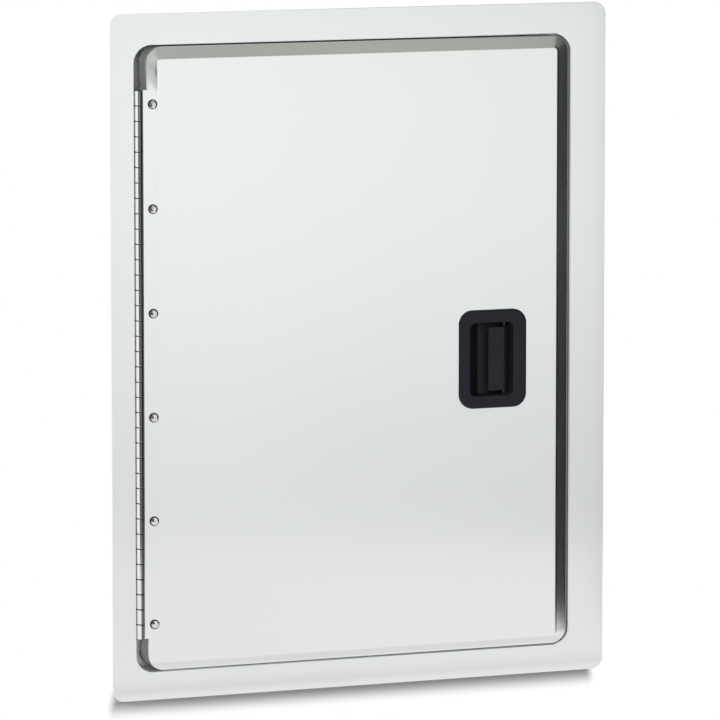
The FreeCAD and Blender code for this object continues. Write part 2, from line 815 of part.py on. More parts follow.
def bezel_block(inset, y0, y1):
    """The surround's outline, which sits off the cup's middle towards the latch side."""
    middle = latch_x + BEZEL_OFFSET
    half_x = BEZEL_WIDTH / 2 - inset
    half_z = BEZEL_HEIGHT / 2 - inset
    return rounded_block(
        middle - half_x,
        middle + half_x,
        latch_z - half_z,
        latch_z + half_z,
        BEZEL_CORNER_RADIUS - inset,
        y0,
        y1,
    )


def latch_bezel():
    """The black surround with its finger cup, pin bosses and screw bosses."""
    plate = bezel_block(0, bezel_front, bezel_back)
    plate = fillet_near(
        plate, BEZEL_EDGE_RADIUS, lambda point: abs(point.y - bezel_front) < TOUCH
    )
    cup = latch_block(cup_half_x, cup_half_z, CUP_CORNER_RADIUS, bezel_back, cup_back)
    shape = plate.fuse(cup)
    for side in (-1, 1):
        start = V(pivot_x, pivot_y, latch_z + side * cup_half_z)
        shape = shape.fuse(rod(PIN_BOSS_RADIUS, start, V(0, 0, side), PIN_BOSS_HEIGHT))
    for x, z in boss_places():
        start = V(x, cup_back, z)
        shape = shape.fuse(rod(BOSS_RADIUS, start, V(0, 1, 0), housing_inside - cup_back))
    recess = latch_block(
        CUP_WIDTH / 2, CUP_HEIGHT / 2, CUP_CORNER_RADIUS - CUP_WALL / 2, bezel_front, cup_floor_front
    )
    shape = shape.removeSplitter().cut(recess)

    def on_cup_lip(point):
        near_x = abs(point.x - latch_x) < CUP_WIDTH / 2 + TOUCH
        near_z = abs(point.z - latch_z) < CUP_HEIGHT / 2 + TOUCH
        return abs(point.y - bezel_front) < TOUCH and near_x and near_z

    shape = fillet_near(shape, CUP_LIP_RADIUS, on_cup_lip)
    bore = rod(
        PADDLE_PIN_RADIUS + PADDLE_PIN_CLEARANCE,
        V(pivot_x, pivot_y, latch_z - boss_reach),
        V(0, 0, 1),
        2 * boss_reach,
    )
    shape = shape.cut(bore)
    sweep = (cup_back - pivot_y) * math.tan(math.radians(PADDLE_TURN))
    half_tail = TAIL_THICKNESS / 2
    slot = box(
        pivot_x - sweep - half_tail / math.cos(math.radians(PADDLE_TURN)) - CUTOUT_CLEARANCE,
        pivot_x + half_tail + CUTOUT_CLEARANCE,
        cup_floor_front,
        cup_back,
        latch_z - TAIL_HEIGHT / 2 - CUTOUT_CLEARANCE,
        latch_z + TAIL_HEIGHT / 2 + CUTOUT_CLEARANCE,
    )
    shape = shape.cut(slot)
    for x, z in boss_places():
        start = V(x, housing_inside - LATCH_SCREW_DEPTH, z)
        pilot = rod(LATCH_SCREW_RADIUS + SCREW_CLEARANCE, start, V(0, 1, 0), LATCH_SCREW_DEPTH)
        shape = shape.cut(pilot)
    return shape


def boss_places():
    return [(latch_x + i * BOSS_X, latch_z + k * BOSS_Z) for i in (-1, 1) for k in (-1, 1)]


def latch_gasket():
    outer = bezel_block(GASKET_INSET, bezel_back, front)
    inner = latch_block(cutout_half_x, cutout_half_z, CUP_CORNER_RADIUS, bezel_back, front)
    return outer.cut(inner)


def latch_paddle():
    """The pull bar, its curved web, the hub on the pin and the tail that moves the bolt."""
    bar_front = bezel_front + BAR_SET_BACK
    bar_right = pivot_x - BAR_FROM_PIVOT
    low = latch_z - BAR_HEIGHT / 2
    bar = box(
        bar_right - BAR_WIDTH, bar_right, bar_front, bar_front + BAR_THICKNESS, low, low + BAR_HEIGHT
    )
    bar = bar.makeFillet(BAR_EDGE_RADIUS, bar.Edges)
    hub = rod(PADDLE_HUB_RADIUS, V(pivot_x, pivot_y, low), V(0, 0, 1), BAR_HEIGHT)
    web = paddle_web(bar_front, bar_right, low)
    half = TAIL_THICKNESS / 2
    tail_low = latch_z - TAIL_HEIGHT / 2
    tail = box(
        pivot_x - half, pivot_x + half, pivot_y, pivot_y + TAIL_REACH, tail_low, tail_low + TAIL_HEIGHT
    )
    tip = rod(half, V(pivot_x, pivot_y + TAIL_REACH, tail_low), V(0, 0, 1), TAIL_HEIGHT)
    shape = bar.fuse([hub, web, tail, tip]).removeSplitter()
    bore = rod(
        PADDLE_PIN_RADIUS + PADDLE_PIN_CLEARANCE, V(pivot_x, pivot_y, low), V(0, 0, 1), BAR_HEIGHT
    )
    relief = box(
        pivot_x - PADDLE_HUB_RADIUS - SPRING_END_GAP,
        pivot_x + PADDLE_HUB_RADIUS + SPRING_END_GAP,
        pivot_y - PADDLE_HUB_RADIUS - SPRING_END_GAP,
        pivot_y + PADDLE_HUB_RADIUS + SPRING_END_GAP,
        low,
        low + SPRING_POCKET,
    )
    return shape.cut(bore).cut(relief)


def paddle_web(bar_front, bar_right, low):
    """A strip bent through a quarter turn, from the bar's right edge round to the hub."""
    outer = pivot_y - bar_front
    inner = outer - WEB_THICKNESS
    centre = V(bar_right, pivot_y, low)
    reach = BAR_FROM_PIVOT
    start = V(bar_right - WEB_LAP, bar_front, low)
    bend = reach + WEB_THICKNESS / 2
    outside = Part.Arc(
        V(bar_right, bar_front, low),
        V(
            centre.x + bend * math.sin(math.pi / 4),
            centre.y - outer * math.cos(math.pi / 4),
            low,
        ),
        V(centre.x + bend, centre.y, low),
    ).toShape()
    inside_reach = bend - WEB_THICKNESS
    inside = Part.Arc(
        V(centre.x + inside_reach, centre.y, low),
        V(
            centre.x + inside_reach * math.sin(math.pi / 4),
            centre.y - inner * math.cos(math.pi / 4),
            low,
        ),
        V(bar_right, bar_front + WEB_THICKNESS, low),
    ).toShape()
    edges = [
        line(start, V(bar_right, bar_front, low)),
        outside,
        line(V(centre.x + bend, centre.y, low), V(centre.x + inside_reach, centre.y, low)),
        inside,
        line(V(bar_right, bar_front + WEB_THICKNESS, low), V(start.x, start.y + WEB_THICKNESS, low)),
        line(V(start.x, start.y + WEB_THICKNESS, low), start),
    ]
    return Part.Face(Part.Wire(edges)).extrude(V(0, 0, BAR_HEIGHT))


def paddle_pin():
    return rod(
        PADDLE_PIN_RADIUS, V(pivot_x, pivot_y, latch_z - boss_reach), V(0, 0, 1), 2 * boss_reach
    )


def facet(points):
    return Part.Face(Part.makePolygon(points + points[:1]))


def coil(radius, wire, pitch, turns, start, axis):
    """An open coil of wire, drawn in flat facets, from its start along the axis."""
    rings = []
    for n in range(turns * COIL_STEPS + 1):
        turn = 2 * math.pi * n / COIL_STEPS
        ring = []
        for k in range(WIRE_SIDES):
            around = 2 * math.pi * k / WIRE_SIDES
            reach = radius + wire * math.cos(around)
            height = pitch * n / COIL_STEPS + wire * math.sin(around)
            ring.append(V(reach * math.cos(turn), reach * math.sin(turn), height))
        rings.append(ring)
    facets = [facet(rings[0][::-1]), facet(rings[-1])]
    for ring, following in zip(rings, rings[1:]):
        for k in range(WIRE_SIDES):
            near, far = ring[k - 1], following[k]
            facets.append(facet([near, ring[k], far]))
            facets.append(facet([near, far, following[k - 1]]))
    spring = Part.Solid(Part.Shell(facets))
    spring.Placement = FreeCAD.Placement(start, FreeCAD.Rotation(V(0, 0, 1), axis))
    return spring


def paddle_spring():
    low = latch_z - BAR_HEIGHT / 2 + SPRING_END_GAP + PADDLE_SPRING_WIRE
    room = SPRING_POCKET - 2 * (SPRING_END_GAP + PADDLE_SPRING_WIRE)
    return coil(
        PADDLE_SPRING_RADIUS,
        PADDLE_SPRING_WIRE,
        room / PADDLE_SPRING_TURNS,
        PADDLE_SPRING_TURNS,
        V(pivot_x, pivot_y, low),
        V(0, 0, 1),
    )


def latch_bolt():
    """The slam bolt: bevelled nose, shoulder at its inner end, pocket for the paddle's tail."""
    half = BOLT_HEIGHT / 2
    outline = [
        (bolt_left, bolt_front),
        (bolt_tip, bolt_front),
        (bolt_tip, bolt_back - BOLT_BEVEL),
        (bolt_tip - BOLT_BEVEL, bolt_back),
        (bolt_left, bolt_back),
    ]
    shape = profile(outline, latch_z - half, BOLT_HEIGHT)
    wide = half + BOLT_SHOULDER_STEP
    shoulder = box(
        bolt_left, bolt_left + BOLT_SHOULDER, bolt_front, bolt_back, latch_z - wide, latch_z + wide
    )
    guide = rod(
        SPRING_GUIDE_RADIUS,
        V(bolt_left - SPRING_GUIDE_LENGTH, bolt_middle, latch_z),
        V(1, 0, 0),
        SPRING_GUIDE_LENGTH,
    )
    shape = shape.fuse([shoulder, guide]).removeSplitter()
    near = TAIL_THICKNESS / 2 + TAIL_SLACK
    pocket = box(
        pivot_x - near,
        pivot_x + POCKET_FAR_SIDE,
        bolt_front,
        bolt_back - POCKET_FLOOR,
        latch_z - TAIL_HEIGHT / 2 - TAIL_SLACK,
        latch_z + TAIL_HEIGHT / 2 + TAIL_SLACK,
    )
    return shape.cut(pocket)


def bolt_spring():
    inner = latch_x - housing_half_x + HOUSING_WALL
    start = inner + SPRING_END_GAP + BOLT_SPRING_WIRE
    end = bolt_left - SPRING_END_GAP - BOLT_SPRING_WIRE
    return coil(
        BOLT_SPRING_RADIUS,
        BOLT_SPRING_WIRE,
        (end - start) / BOLT_SPRING_TURNS,
        BOLT_SPRING_TURNS,
        V(start, bolt_middle, latch_z),
        V(1, 0, 0),
    )


def latch_housing():
    """The rear case: it clamps the panel against the bezel and guides the bolt."""
    wall_x = latch_x + housing_half_x - HOUSING_WALL
    case = latch_block(
        housing_half_x, housing_half_z, HOUSING_CORNER_RADIUS, skin_back, housing_back
    )
    inside = latch_block(
        housing_half_x - HOUSING_WALL,
        housing_half_z - HOUSING_WALL,
        HOUSING_CORNER_RADIUS - HOUSING_WALL,
        skin_back,
        housing_inside,
    )
    case = case.cut(inside)
    low = BOLT_HEIGHT / 2 + BOLT_CLEARANCE
    rib_left = bolt_left + BOLT_SHOULDER + BOLT_CLEARANCE
    for side in (-1, 1):
        z = sorted((latch_z + side * low, latch_z + side * (low + RIB_THICKNESS)))
        rib = box(rib_left, wall_x, bolt_front - BOLT_CLEARANCE, housing_inside, *z)
        case = case.fuse(rib)
    port = box(
        wall_x,
        wall_x + HOUSING_WALL,
        bolt_front - BOLT_CLEARANCE,
        housing_inside,
        latch_z - low,
        latch_z + low,
    )
    case = case.removeSplitter().cut(port)
    for x, z in boss_places():
        radius = LATCH_SCREW_RADIUS + SCREW_HOLE_CLEARANCE
        case = case.cut(rod(radius, V(x, housing_inside, z), V(0, 1, 0), HOUSING_WALL))
    return case


def latch_screws():
    screws = []
    for x, z in boss_places():
        screws.append(
            screw(
                V(x, housing_back, z),
                V(0, 1, 0),
                LATCH_SCREW_RADIUS,
                HOUSING_WALL + LATCH_SCREW_DEPTH - SPRING_END_GAP,
                LATCH_SCREW_HEAD_RADIUS,
                LATCH_SCREW_HEAD_HEIGHT,
            )
        )
    return Part.makeCompound(screws)


NODES = [
    trim_frame,
    top_stop,
    bottom_stop,
    hinge_side_stop,
    latch_side_stop,
    strike_plate,
    strike_screws,
    bumpers,
    hinge_frame_leaf,
    hinge_pin,
    frame_leaf_rivets,
    hinge_door_leaf,
    door_pan,
    door_rivets,
    door_liner,
    liner_rivets,
    door_stiffeners,
    latch_bezel,
    latch_gasket,
    latch_housing,
    latch_screws,
    latch_paddle,
    paddle_pin,
    paddle_spring,
    latch_bolt,
    bolt_spring,
]

os.makedirs("parts", exist_ok=True)
for node in NODES:
    solid = node()
    solid.exportStep("parts/" + node.__name__ + ".step")
    valid = all(each.isValid() for each in solid.Solids)
    print(node.__name__, len(solid.Solids), "solids", round(solid.Volume), "mm3", "valid" if valid else "BAD")
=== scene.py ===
"""Looks of the island access door: bright sheet steel, a piano hinge and a black pull latch.

Lengths are millimetres in the named sizes and metres in the meshes. The frame is the
model's: X to the right seen from the front, Y back into the island, Z up.
"""

import json
import math

import bmesh
import bpy
from mathutils import Matrix, Vector
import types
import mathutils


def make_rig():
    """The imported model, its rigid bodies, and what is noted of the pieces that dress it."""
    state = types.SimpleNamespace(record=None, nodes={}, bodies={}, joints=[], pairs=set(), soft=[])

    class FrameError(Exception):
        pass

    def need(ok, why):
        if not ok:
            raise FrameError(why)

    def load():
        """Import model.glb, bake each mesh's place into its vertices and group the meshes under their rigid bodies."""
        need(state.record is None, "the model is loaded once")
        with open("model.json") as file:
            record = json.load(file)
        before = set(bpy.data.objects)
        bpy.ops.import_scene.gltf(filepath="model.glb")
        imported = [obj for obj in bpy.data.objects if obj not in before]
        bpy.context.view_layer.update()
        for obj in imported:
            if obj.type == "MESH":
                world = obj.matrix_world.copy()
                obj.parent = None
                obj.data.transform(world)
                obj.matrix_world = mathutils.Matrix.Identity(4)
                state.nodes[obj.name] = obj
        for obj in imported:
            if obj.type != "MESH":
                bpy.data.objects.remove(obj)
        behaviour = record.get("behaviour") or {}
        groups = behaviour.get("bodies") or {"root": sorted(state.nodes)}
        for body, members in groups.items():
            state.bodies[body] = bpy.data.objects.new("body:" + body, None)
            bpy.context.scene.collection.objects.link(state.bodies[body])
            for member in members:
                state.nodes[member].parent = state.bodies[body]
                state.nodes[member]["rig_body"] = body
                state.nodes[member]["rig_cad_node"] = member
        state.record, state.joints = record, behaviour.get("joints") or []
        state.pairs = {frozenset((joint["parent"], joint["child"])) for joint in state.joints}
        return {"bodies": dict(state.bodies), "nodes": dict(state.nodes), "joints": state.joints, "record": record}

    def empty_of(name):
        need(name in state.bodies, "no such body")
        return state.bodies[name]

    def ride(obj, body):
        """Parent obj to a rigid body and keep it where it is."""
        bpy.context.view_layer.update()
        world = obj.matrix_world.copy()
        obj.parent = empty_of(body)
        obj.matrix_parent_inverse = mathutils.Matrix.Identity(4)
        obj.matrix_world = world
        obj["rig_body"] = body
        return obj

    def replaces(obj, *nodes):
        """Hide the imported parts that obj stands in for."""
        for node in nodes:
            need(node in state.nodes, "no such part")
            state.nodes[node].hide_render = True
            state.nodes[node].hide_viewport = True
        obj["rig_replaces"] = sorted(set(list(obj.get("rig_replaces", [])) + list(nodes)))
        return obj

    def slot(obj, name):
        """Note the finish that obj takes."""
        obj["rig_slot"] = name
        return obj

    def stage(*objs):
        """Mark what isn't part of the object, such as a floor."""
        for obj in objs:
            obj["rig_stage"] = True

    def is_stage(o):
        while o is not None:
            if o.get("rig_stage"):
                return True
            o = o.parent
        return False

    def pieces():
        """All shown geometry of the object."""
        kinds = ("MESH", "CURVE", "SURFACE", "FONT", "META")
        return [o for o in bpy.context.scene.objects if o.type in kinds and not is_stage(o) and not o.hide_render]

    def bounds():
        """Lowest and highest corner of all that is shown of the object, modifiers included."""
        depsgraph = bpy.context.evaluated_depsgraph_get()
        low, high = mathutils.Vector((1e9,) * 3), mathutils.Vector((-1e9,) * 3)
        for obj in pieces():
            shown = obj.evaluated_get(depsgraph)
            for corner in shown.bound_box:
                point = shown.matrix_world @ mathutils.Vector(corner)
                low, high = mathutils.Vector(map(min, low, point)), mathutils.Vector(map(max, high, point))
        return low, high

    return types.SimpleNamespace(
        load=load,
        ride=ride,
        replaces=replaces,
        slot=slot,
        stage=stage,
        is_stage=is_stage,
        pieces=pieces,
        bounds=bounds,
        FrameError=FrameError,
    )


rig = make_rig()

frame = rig.load()
cad_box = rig.bounds()

MM = 0.001

# Trim frame: a flange bent back into a sleeve
SHEET = 1.2
FRAME_LEFT, FRAME_RIGHT = -222.5, 222.5
FRAME_BOTTOM, FRAME_TOP = -10.9, 561.1
FRAME_CORNER = 10.0
OPEN_LEFT, OPEN_RIGHT = -201.5, 190.2
OPEN_BOTTOM, OPEN_TOP = 12.9, 534.8
OPEN_CORNER = 15.0
FRONT = -1.2
SLEEVE_BACK = 44.0
FRAME_BEND = 1.1
CUT_EDGE = 0.25
SCREW_HOLE_Y, SCREW_HOLES_Z = 38.0, (93.45, 453.45)
SCREW_HOLE_RADIUS = 2.75
DRILL_LENGTH = 430.0

# Door skin: a flat panel with a border that slopes back to the rim
DOOR_LEFT, DOOR_RIGHT = -190.95, 189.1
DOOR_BOTTOM, DOOR_TOP = 13.1, 533.5
DOOR_CORNER = 13.9
DOOR_BACK = 17.8
BORDER_LEFT, BORDER_RIGHT = 10.0, 12.0
BORDER_BOTTOM, BORDER_TOP = 7.4, 11.2
BORDER_DROP = 1.6
BORDER_CORNER, LEAST_CORNER = 2.5, 0.5
FLAT_MARGIN = 2.0

# The crease: the share of the border in which the slope builds up, and how much steeper
# it gets there. The hinge side has its own, from CREASE_SPREAD past the corners on.
CREASE, CREASE_DIP = 0.28, 0.8
HINGE_SIDE_CREASE, HINGE_SIDE_DIP = 0.12, 1.9
CREASE_SPREAD = 10.0

# Beside the hinge little of the slope is left, and a tab of the rim reaches the barrel.
# The rim's wall is cut away there, to just below the hinge's upper end.
HINGE_SIDE_SLOPE = 0.14
FADE_START, SLOPE_FADE = 3.0, 8.0
TAB_LEFT, TAB_STEP = -194.8, 0.01
CUT_SHORT = 0.9

# The bend at the rim starts at the border's own angle
RIM_BEND, RIM_LEAD = 0.8, 0.25
RIM_SLOPE, RIM_ANGLE, RIM_LIFT = 0.14, 8.0, 0.86

# Piano hinge
HINGE_X, HINGE_Y = -198.35, -1.65
HINGE_LOW, HINGE_HIGH = 40.85, 498.05
BARREL = 3.15
LEAF_SHEET, LEAF_WIDTH = 1.5, 17.0
KNUCKLES = 36
KNUCKLE_PITCH = 12.7
KNUCKLE_GAP, KNUCKLE_NOTCH_GAP = 0.25, 0.4
KNUCKLE_EASE, KNUCKLE_REST = 0.55, 0.12
TONGUE_LAP = 0.3

# Rivets
RIVETS = 6
RIVET_X = -185.75
RIVET_FIRST, RIVET_PITCH = 52.7, 86.7
RIVET_HEAD, RIVET_HEAD_HEIGHT = 4.1, 2.0
RIVET_SHANK = 1.6
RIVET_TAIL, RIVET_TAIL_HEIGHT = 2.6, 1.4
FRAME_RIVET_Y = 8.35
FRAME_RIVET_HEAD, FRAME_RIVET_HEAD_HEIGHT = 3.2, 1.2
FRAME_RIVET_TAIL_HEIGHT = 1.0

# Latch: the plate, the finger cup, and the bosses and posts behind them
LATCH_X, LATCH_Z = 117.3, 261.3
CUTOUT_X, CUTOUT_Z = 22.3, 35.6
PLATE_X = 119.2
PLATE_HALF_X, PLATE_HALF_Z = 30.3, 41.8
PLATE_CORNER = 12.0
PLATE_FRONT, PLATE_BACK = -4.6, -2.0
PLATE_EDGE = 1.9
PLATE_CROWN = ((3.4, 0.06), (5.6, 0.04))
CUP_HALF_X, CUP_HALF_Z = 19.5, 31.0
CUP_CORNER, LEAST_CUP_CORNER = 5.0, 0.6
CUP_BRINK = ((-1.6, 0.05), (-0.9, 0.1))
CUP_LIP, CUP_LIP_DROP = 0.9, 0.1
CUP_FOOT = ((0.15, 3.0), (0.35, 1.2), (0.9, 0.35), (1.9, 0.0), (4.5, 0.0))
CUP_FLOOR, CUP_BACK = 10.4, 12.0
CUP_WALL = 2.2
PIVOT_X, PIVOT_Y = 132.4, 5.4
BOSS_RADIUS, BOSS_LENGTH = 3.6, 1.8
POST_X, POST_Z = 14.0, 24.0
POST_RADIUS, POST_BACK = 3.0, 28.9
SUNK = 0.4

# Corner plates of the hinge-side stop
GUSSET_REACH, GUSSET_LIP, GUSSET_Y = 34.0, 12.0, 21.25

# Meshes: steps round a corner, the closed end of a turned piece, how far a cutter stands
# out, and the narrow bevels of copied pieces
CORNER_STEPS = 14
TIP = 0.0005
PROUD = 1.0
FINE_EDGE, THIN_EDGE, SOFT_EDGE = 0.2, 0.25, 0.4

# Angles in degrees: edges that stay sharp or get a bevel, and facets that are one face
SHARP, LATCH_SHARP, RIVET_SHARP = 30.0, 40.0, 50.0
BEVEL_ANGLE = 35.0
FLAT = 0.3
WELD = 0.002


def metres(points):
    """Points in millimetres as vectors in metres."""
    return [Vector(point) * MM for point in points]


# ---- meshes -----------------------------------------------------------------------------


def shade_smooth(mesh, crease=SHARP):
    """Smooth shading but for edges sharper than the crease."""
    mesh.polygons.foreach_set("use_smooth", [True] * len(mesh.polygons))
    mesh.set_sharp_from_angle(angle=math.radians(crease))


def finished(bm, name, crease=SHARP):
    """A plain mesh object with outward faces, shaded smooth."""
    bmesh.ops.recalc_face_normals(bm, faces=bm.faces)
    mesh = bpy.data.meshes.new(name)
    bm.to_mesh(mesh)
    bm.free()
    shade_smooth(mesh, crease)
    thing = bpy.data.objects.new(name, mesh)
    bpy.context.scene.collection.objects.link(thing)
    return thing


def outline(left, right, low, high, corner, y, side=()):
    """Points round a rounded rectangle, with any further points up its left side."""
    points = []
    centres = [
        (left + corner, high - corner, 180),
        (right - corner, high - corner, 90),
        (right - corner, low + corner, 0),
        (left + corner, low + corner, -90),
    ]
    for cx, cz, start in centres:
        for n in range(CORNER_STEPS + 1):
            angle = math.radians(start - 90 * n / CORNER_STEPS)
            points.append((cx + corner * math.cos(angle), y, cz + corner * math.sin(angle)))
    return points + list(side)


def add_rings(bm, rings, ends="capped"):
    """Skin the rings one after another, with the two ends capped, joined or open."""
    loops = [[bm.verts.new(point) for point in metres(ring)] for ring in rings]
    pairs = list(zip(loops, loops[1:]))
    if ends == "joined":
        pairs.append((loops[-1], loops[0]))
    for near, far in pairs:
        for n in range(len(near)):
            m = (n + 1) % len(near)
            bm.faces.new((near[n], near[m], far[m], far[n]))
    if ends == "capped":
        bm.faces.new(loops[0])
        bm.faces.new(loops[-1][::-1])


def box_between(bm, low, high):
    """A closed box between two corners in millimetres."""
    result = bmesh.ops.create_cube(bm, size=1.0)
    size = Vector(high) - Vector(low)
    middle = (Vector(high) + Vector(low)) / 2
    place = Matrix.Translation(middle * MM) @ Matrix.Diagonal((size * MM).to_4d())
    bmesh.ops.transform(bm, matrix=place, verts=result["verts"])


def bake(thing):
    """Turn the modifiers into a plain mesh."""
    graph = bpy.context.evaluated_depsgraph_get()
    mesh = bpy.data.meshes.new_from_object(thing.evaluated_get(graph))
    thing.modifiers.clear()
    old = thing.data
    thing.data = mesh
    mesh.name = thing.name
    bpy.data.meshes.remove(old)


def cut_away(thing, tool):
    """Cut the tool out of the thing, and throw the tool away."""
    cut = thing.modifiers.new("cut", "BOOLEAN")
    cut.operation = "DIFFERENCE"
    cut.solver = "EXACT"
    cut.object = tool
    bake(thing)
    bpy.data.objects.remove(tool)
    shade_smooth(thing.data)


def ease_edges(thing, width):
    """Round the sharp edges by a small width."""
    bevel = thing.modifiers.new("edge", "BEVEL")
    bevel.width = width * MM
    bevel.segments = 2
    bevel.limit_method = "ANGLE"
    bevel.angle_limit = math.radians(BEVEL_ANGLE)
    bevel.harden_normals = True
    bake(thing)


def copied(node, name, edge=0.0):
    """A merged, smooth copy of a CAD node that stands in its place."""
    bm = bmesh.new()
    bm.from_mesh(frame["nodes"][node].data)
    bmesh.ops.remove_doubles(bm, verts=bm.verts, dist=WELD * MM)
    flat = math.radians(FLAT)
    bmesh.ops.dissolve_limit(bm, angle_limit=flat, verts=bm.verts, edges=bm.edges)
    thing = finished(bm, name)
    if edge:
        ease_edges(thing, edge)
    return thing


def merged(name, things, crease=SHARP):
    """Several objects made into one."""
    bm = bmesh.new()
    for thing in things:
        bm.from_mesh(thing.data)
        bpy.data.objects.remove(thing)
    return finished(bm, name, crease)


def lathed(name, profile, axis, segments=28):
    """A turned piece: a profile of radius and height, about an axis through the origin."""
    turn = Vector((0, 0, 1)).rotation_difference(Vector(axis)).to_matrix().to_4x4()
    bm = bmesh.new()
    rings = []
    for radius, height in profile:
        ring = []
        for n in range(segments):
            angle = 2 * math.pi * n / segments
            ring.append((radius * math.cos(angle), radius * math.sin(angle), height))
        rings.append(ring)
    add_rings(bm, rings)
    bmesh.ops.transform(bm, matrix=turn, verts=bm.verts)
    return finished(bm, name)


def stub(name, radius, length, axis, place):
    """A short turned boss or post."""
    thing = lathed(name, [(TIP, 0), (radius, 0), (radius, length), (TIP, length)], axis)
    thing.data.transform(Matrix.Translation(Vector(place) * MM))
    return thing


# ---- node trees -------------------------------------------------------------------------


class Value:
    """One socket of a node tree, on which sums are written as in plain Python."""

    def __init__(self, graph, socket):
        self.graph = graph
        self.socket = socket

    def __add__(self, other):
        return self.graph.math("ADD", self, other)

    def __radd__(self, other):
        return self.graph.math("ADD", other, self)

    def __sub__(self, other):
        return self.graph.math("SUBTRACT", self, other)

    def __rsub__(self, other):
        return self.graph.math("SUBTRACT", other, self)

    def __mul__(self, other):
        return self.graph.math("MULTIPLY", self, other)

    def __rmul__(self, other):
        return self.graph.math("MULTIPLY", other, self)

    def __truediv__(self, other):
        return self.graph.math("DIVIDE", self, other)

    def __neg__(self):
        return self.graph.math("MULTIPLY", self, -1.0)

    def __abs__(self):
        return self.graph.math("ABSOLUTE", self)

    def __round__(self):
        return self.graph.math("ROUND", self)


class Graph:
    """A node tree being built: the add method makes every node."""

    def __init__(self, tree):
        self.tree = tree
        tree.nodes.clear()

    def add(self, kind, settings=None, inputs=None, out=0):
        node = self.tree.nodes.new(kind)
        for key, value in (settings or {}).items():
            setattr(node, key, value)
        for key, value in (inputs or {}).items():
            if isinstance(value, Value):
                self.tree.links.new(value.socket, node.inputs[key])
            else:
                node.inputs[key].default_value = value
        if not node.outputs:
            return None
        return Value(self, node.outputs[out])

    def math(self, operation, *values):
        return self.add("ShaderNodeMath", {"operation": operation}, dict(enumerate(values)))

    def place(self):
        """Where a point lies on its object."""
        return self.add("ShaderNodeTexCoord", None, None, "Object")

    def parts(self, vector):
        """The three coordinates of a vector."""
        split = self.add("ShaderNodeSeparateXYZ", None, {"Vector": vector})
        return [Value(self, output) for output in split.socket.node.outputs]

    def length(self, x, y):
        both = self.add("ShaderNodeCombineXYZ", None, {"X": x, "Y": y})
        return self.add("ShaderNodeVectorMath", {"operation": "LENGTH"}, {0: both}, "Value")

    def step(self, value, low, high):
        """Rises smoothly from 0 to 1 between two levels."""
        return self.add(
            "ShaderNodeMapRange",
            {"interpolation_type": "SMOOTHSTEP"},
            {"Value": value, "From Min": low, "From Max": high},
        )

    def window(self, value, low, high, soft):
        """1 between two levels, with soft edges."""
        rise = self.step(value, low - soft, low + soft)
        return rise * (1 - self.step(value, high - soft, high + soft))

    def paint(self, under, mask, over):
        """One value painted over another where the mask is 1."""
        return under * (1 - mask) + mask * over

    def blend(self, factor, first, second):
        """From one colour to another."""
        inputs = {"Factor": factor, "A": first, "B": second}
        return self.add("ShaderNodeMix", {"data_type": "RGBA"}, inputs, 2)

    def either(self, factor, first, second):
        """From one shader to another."""
        return self.add("ShaderNodeMixShader", None, {"Fac": factor, 1: first, 2: second})

    def noise(self, place, scale, detail, **more):
        inputs = {"Vector": place, "Scale": scale, "Detail": detail, **more}
        return self.add("ShaderNodeTexNoise", None, inputs)


def repeat_tree():
    """Geometry Nodes: a row of copies of a piece, each turned at random about its axis."""
    tree = bpy.data.node_groups.new("row_of_pieces", "GeometryNodeTree")
    graph = Graph(tree)
    face = tree.interface
    for name, kind in (
        ("Piece", "NodeSocketObject"),
        ("Count", "NodeSocketInt"),
        ("Start", "NodeSocketVector"),
        ("Step", "NodeSocketVector"),
        ("Axis", "NodeSocketVector"),
        ("Most Turn", "NodeSocketFloat"),
        ("Seed", "NodeSocketInt"),
        ("Finish", "NodeSocketMaterial"),
    ):
        face.new_socket(name, in_out="INPUT", socket_type=kind)
    face.new_socket("Geometry", in_out="OUTPUT", socket_type="NodeSocketGeometry")
    given = tree.nodes.new("NodeGroupInput")

    def named(name):
        return Value(graph, given.outputs[name])

    row = graph.add(
        "GeometryNodeMeshLine",
        {"mode": "OFFSET"},
        {"Count": named("Count"), "Start Location": named("Start"), "Offset": named("Step")},
    )
    piece = graph.add("GeometryNodeObjectInfo", None, {"Object": named("Piece")}, "Geometry")
    turn = graph.add(
        "FunctionNodeRandomValue",
        {"data_type": "FLOAT"},
        {2: 0.0, 3: named("Most Turn"), "Seed": named("Seed")},
        1,
    )
    spin = graph.add(
        "FunctionNodeAxisAngleToRotation", None, {"Axis": named("Axis"), "Angle": turn}
    )
    copies = graph.add(
        "GeometryNodeInstanceOnPoints",
        None,
        {"Points": row, "Instance": piece, "Rotation": spin},
    )
    real = graph.add("GeometryNodeRealizeInstances", None, {"Geometry": copies})
    done = graph.add(
        "GeometryNodeSetMaterial", None, {"Geometry": real, "Material": named("Finish")}
    )
    graph.add("NodeGroupOutput", None, {"Geometry": done})
    return tree


ROW = repeat_tree()


def row_of(piece, name, count, start, step, finish, axis=(0, 0, 1), most_turn=0.0, seed=1):
    """One plain mesh of the piece repeated in a row, in millimetres."""
    thing = bpy.data.objects.new(name, bpy.data.meshes.new(name))
    bpy.context.scene.collection.objects.link(thing)
    nodes = thing.modifiers.new("row", "NODES")
    nodes.node_group = ROW
    values = {
        "Piece": piece,
        "Count": count,
        "Start": Vector(start) * MM,
        "Step": Vector(step) * MM,
        "Axis": Vector(axis),
        "Most Turn": most_turn,
        "Seed": seed,
        "Finish": finish,
    }
    for item in ROW.interface.items_tree:
        if item.in_out == "INPUT":
            nodes[item.identifier] = values[item.name]
    bake(thing)
    bpy.data.objects.remove(piece)
    return thing


# ---- finishes ---------------------------------------------------------------------------

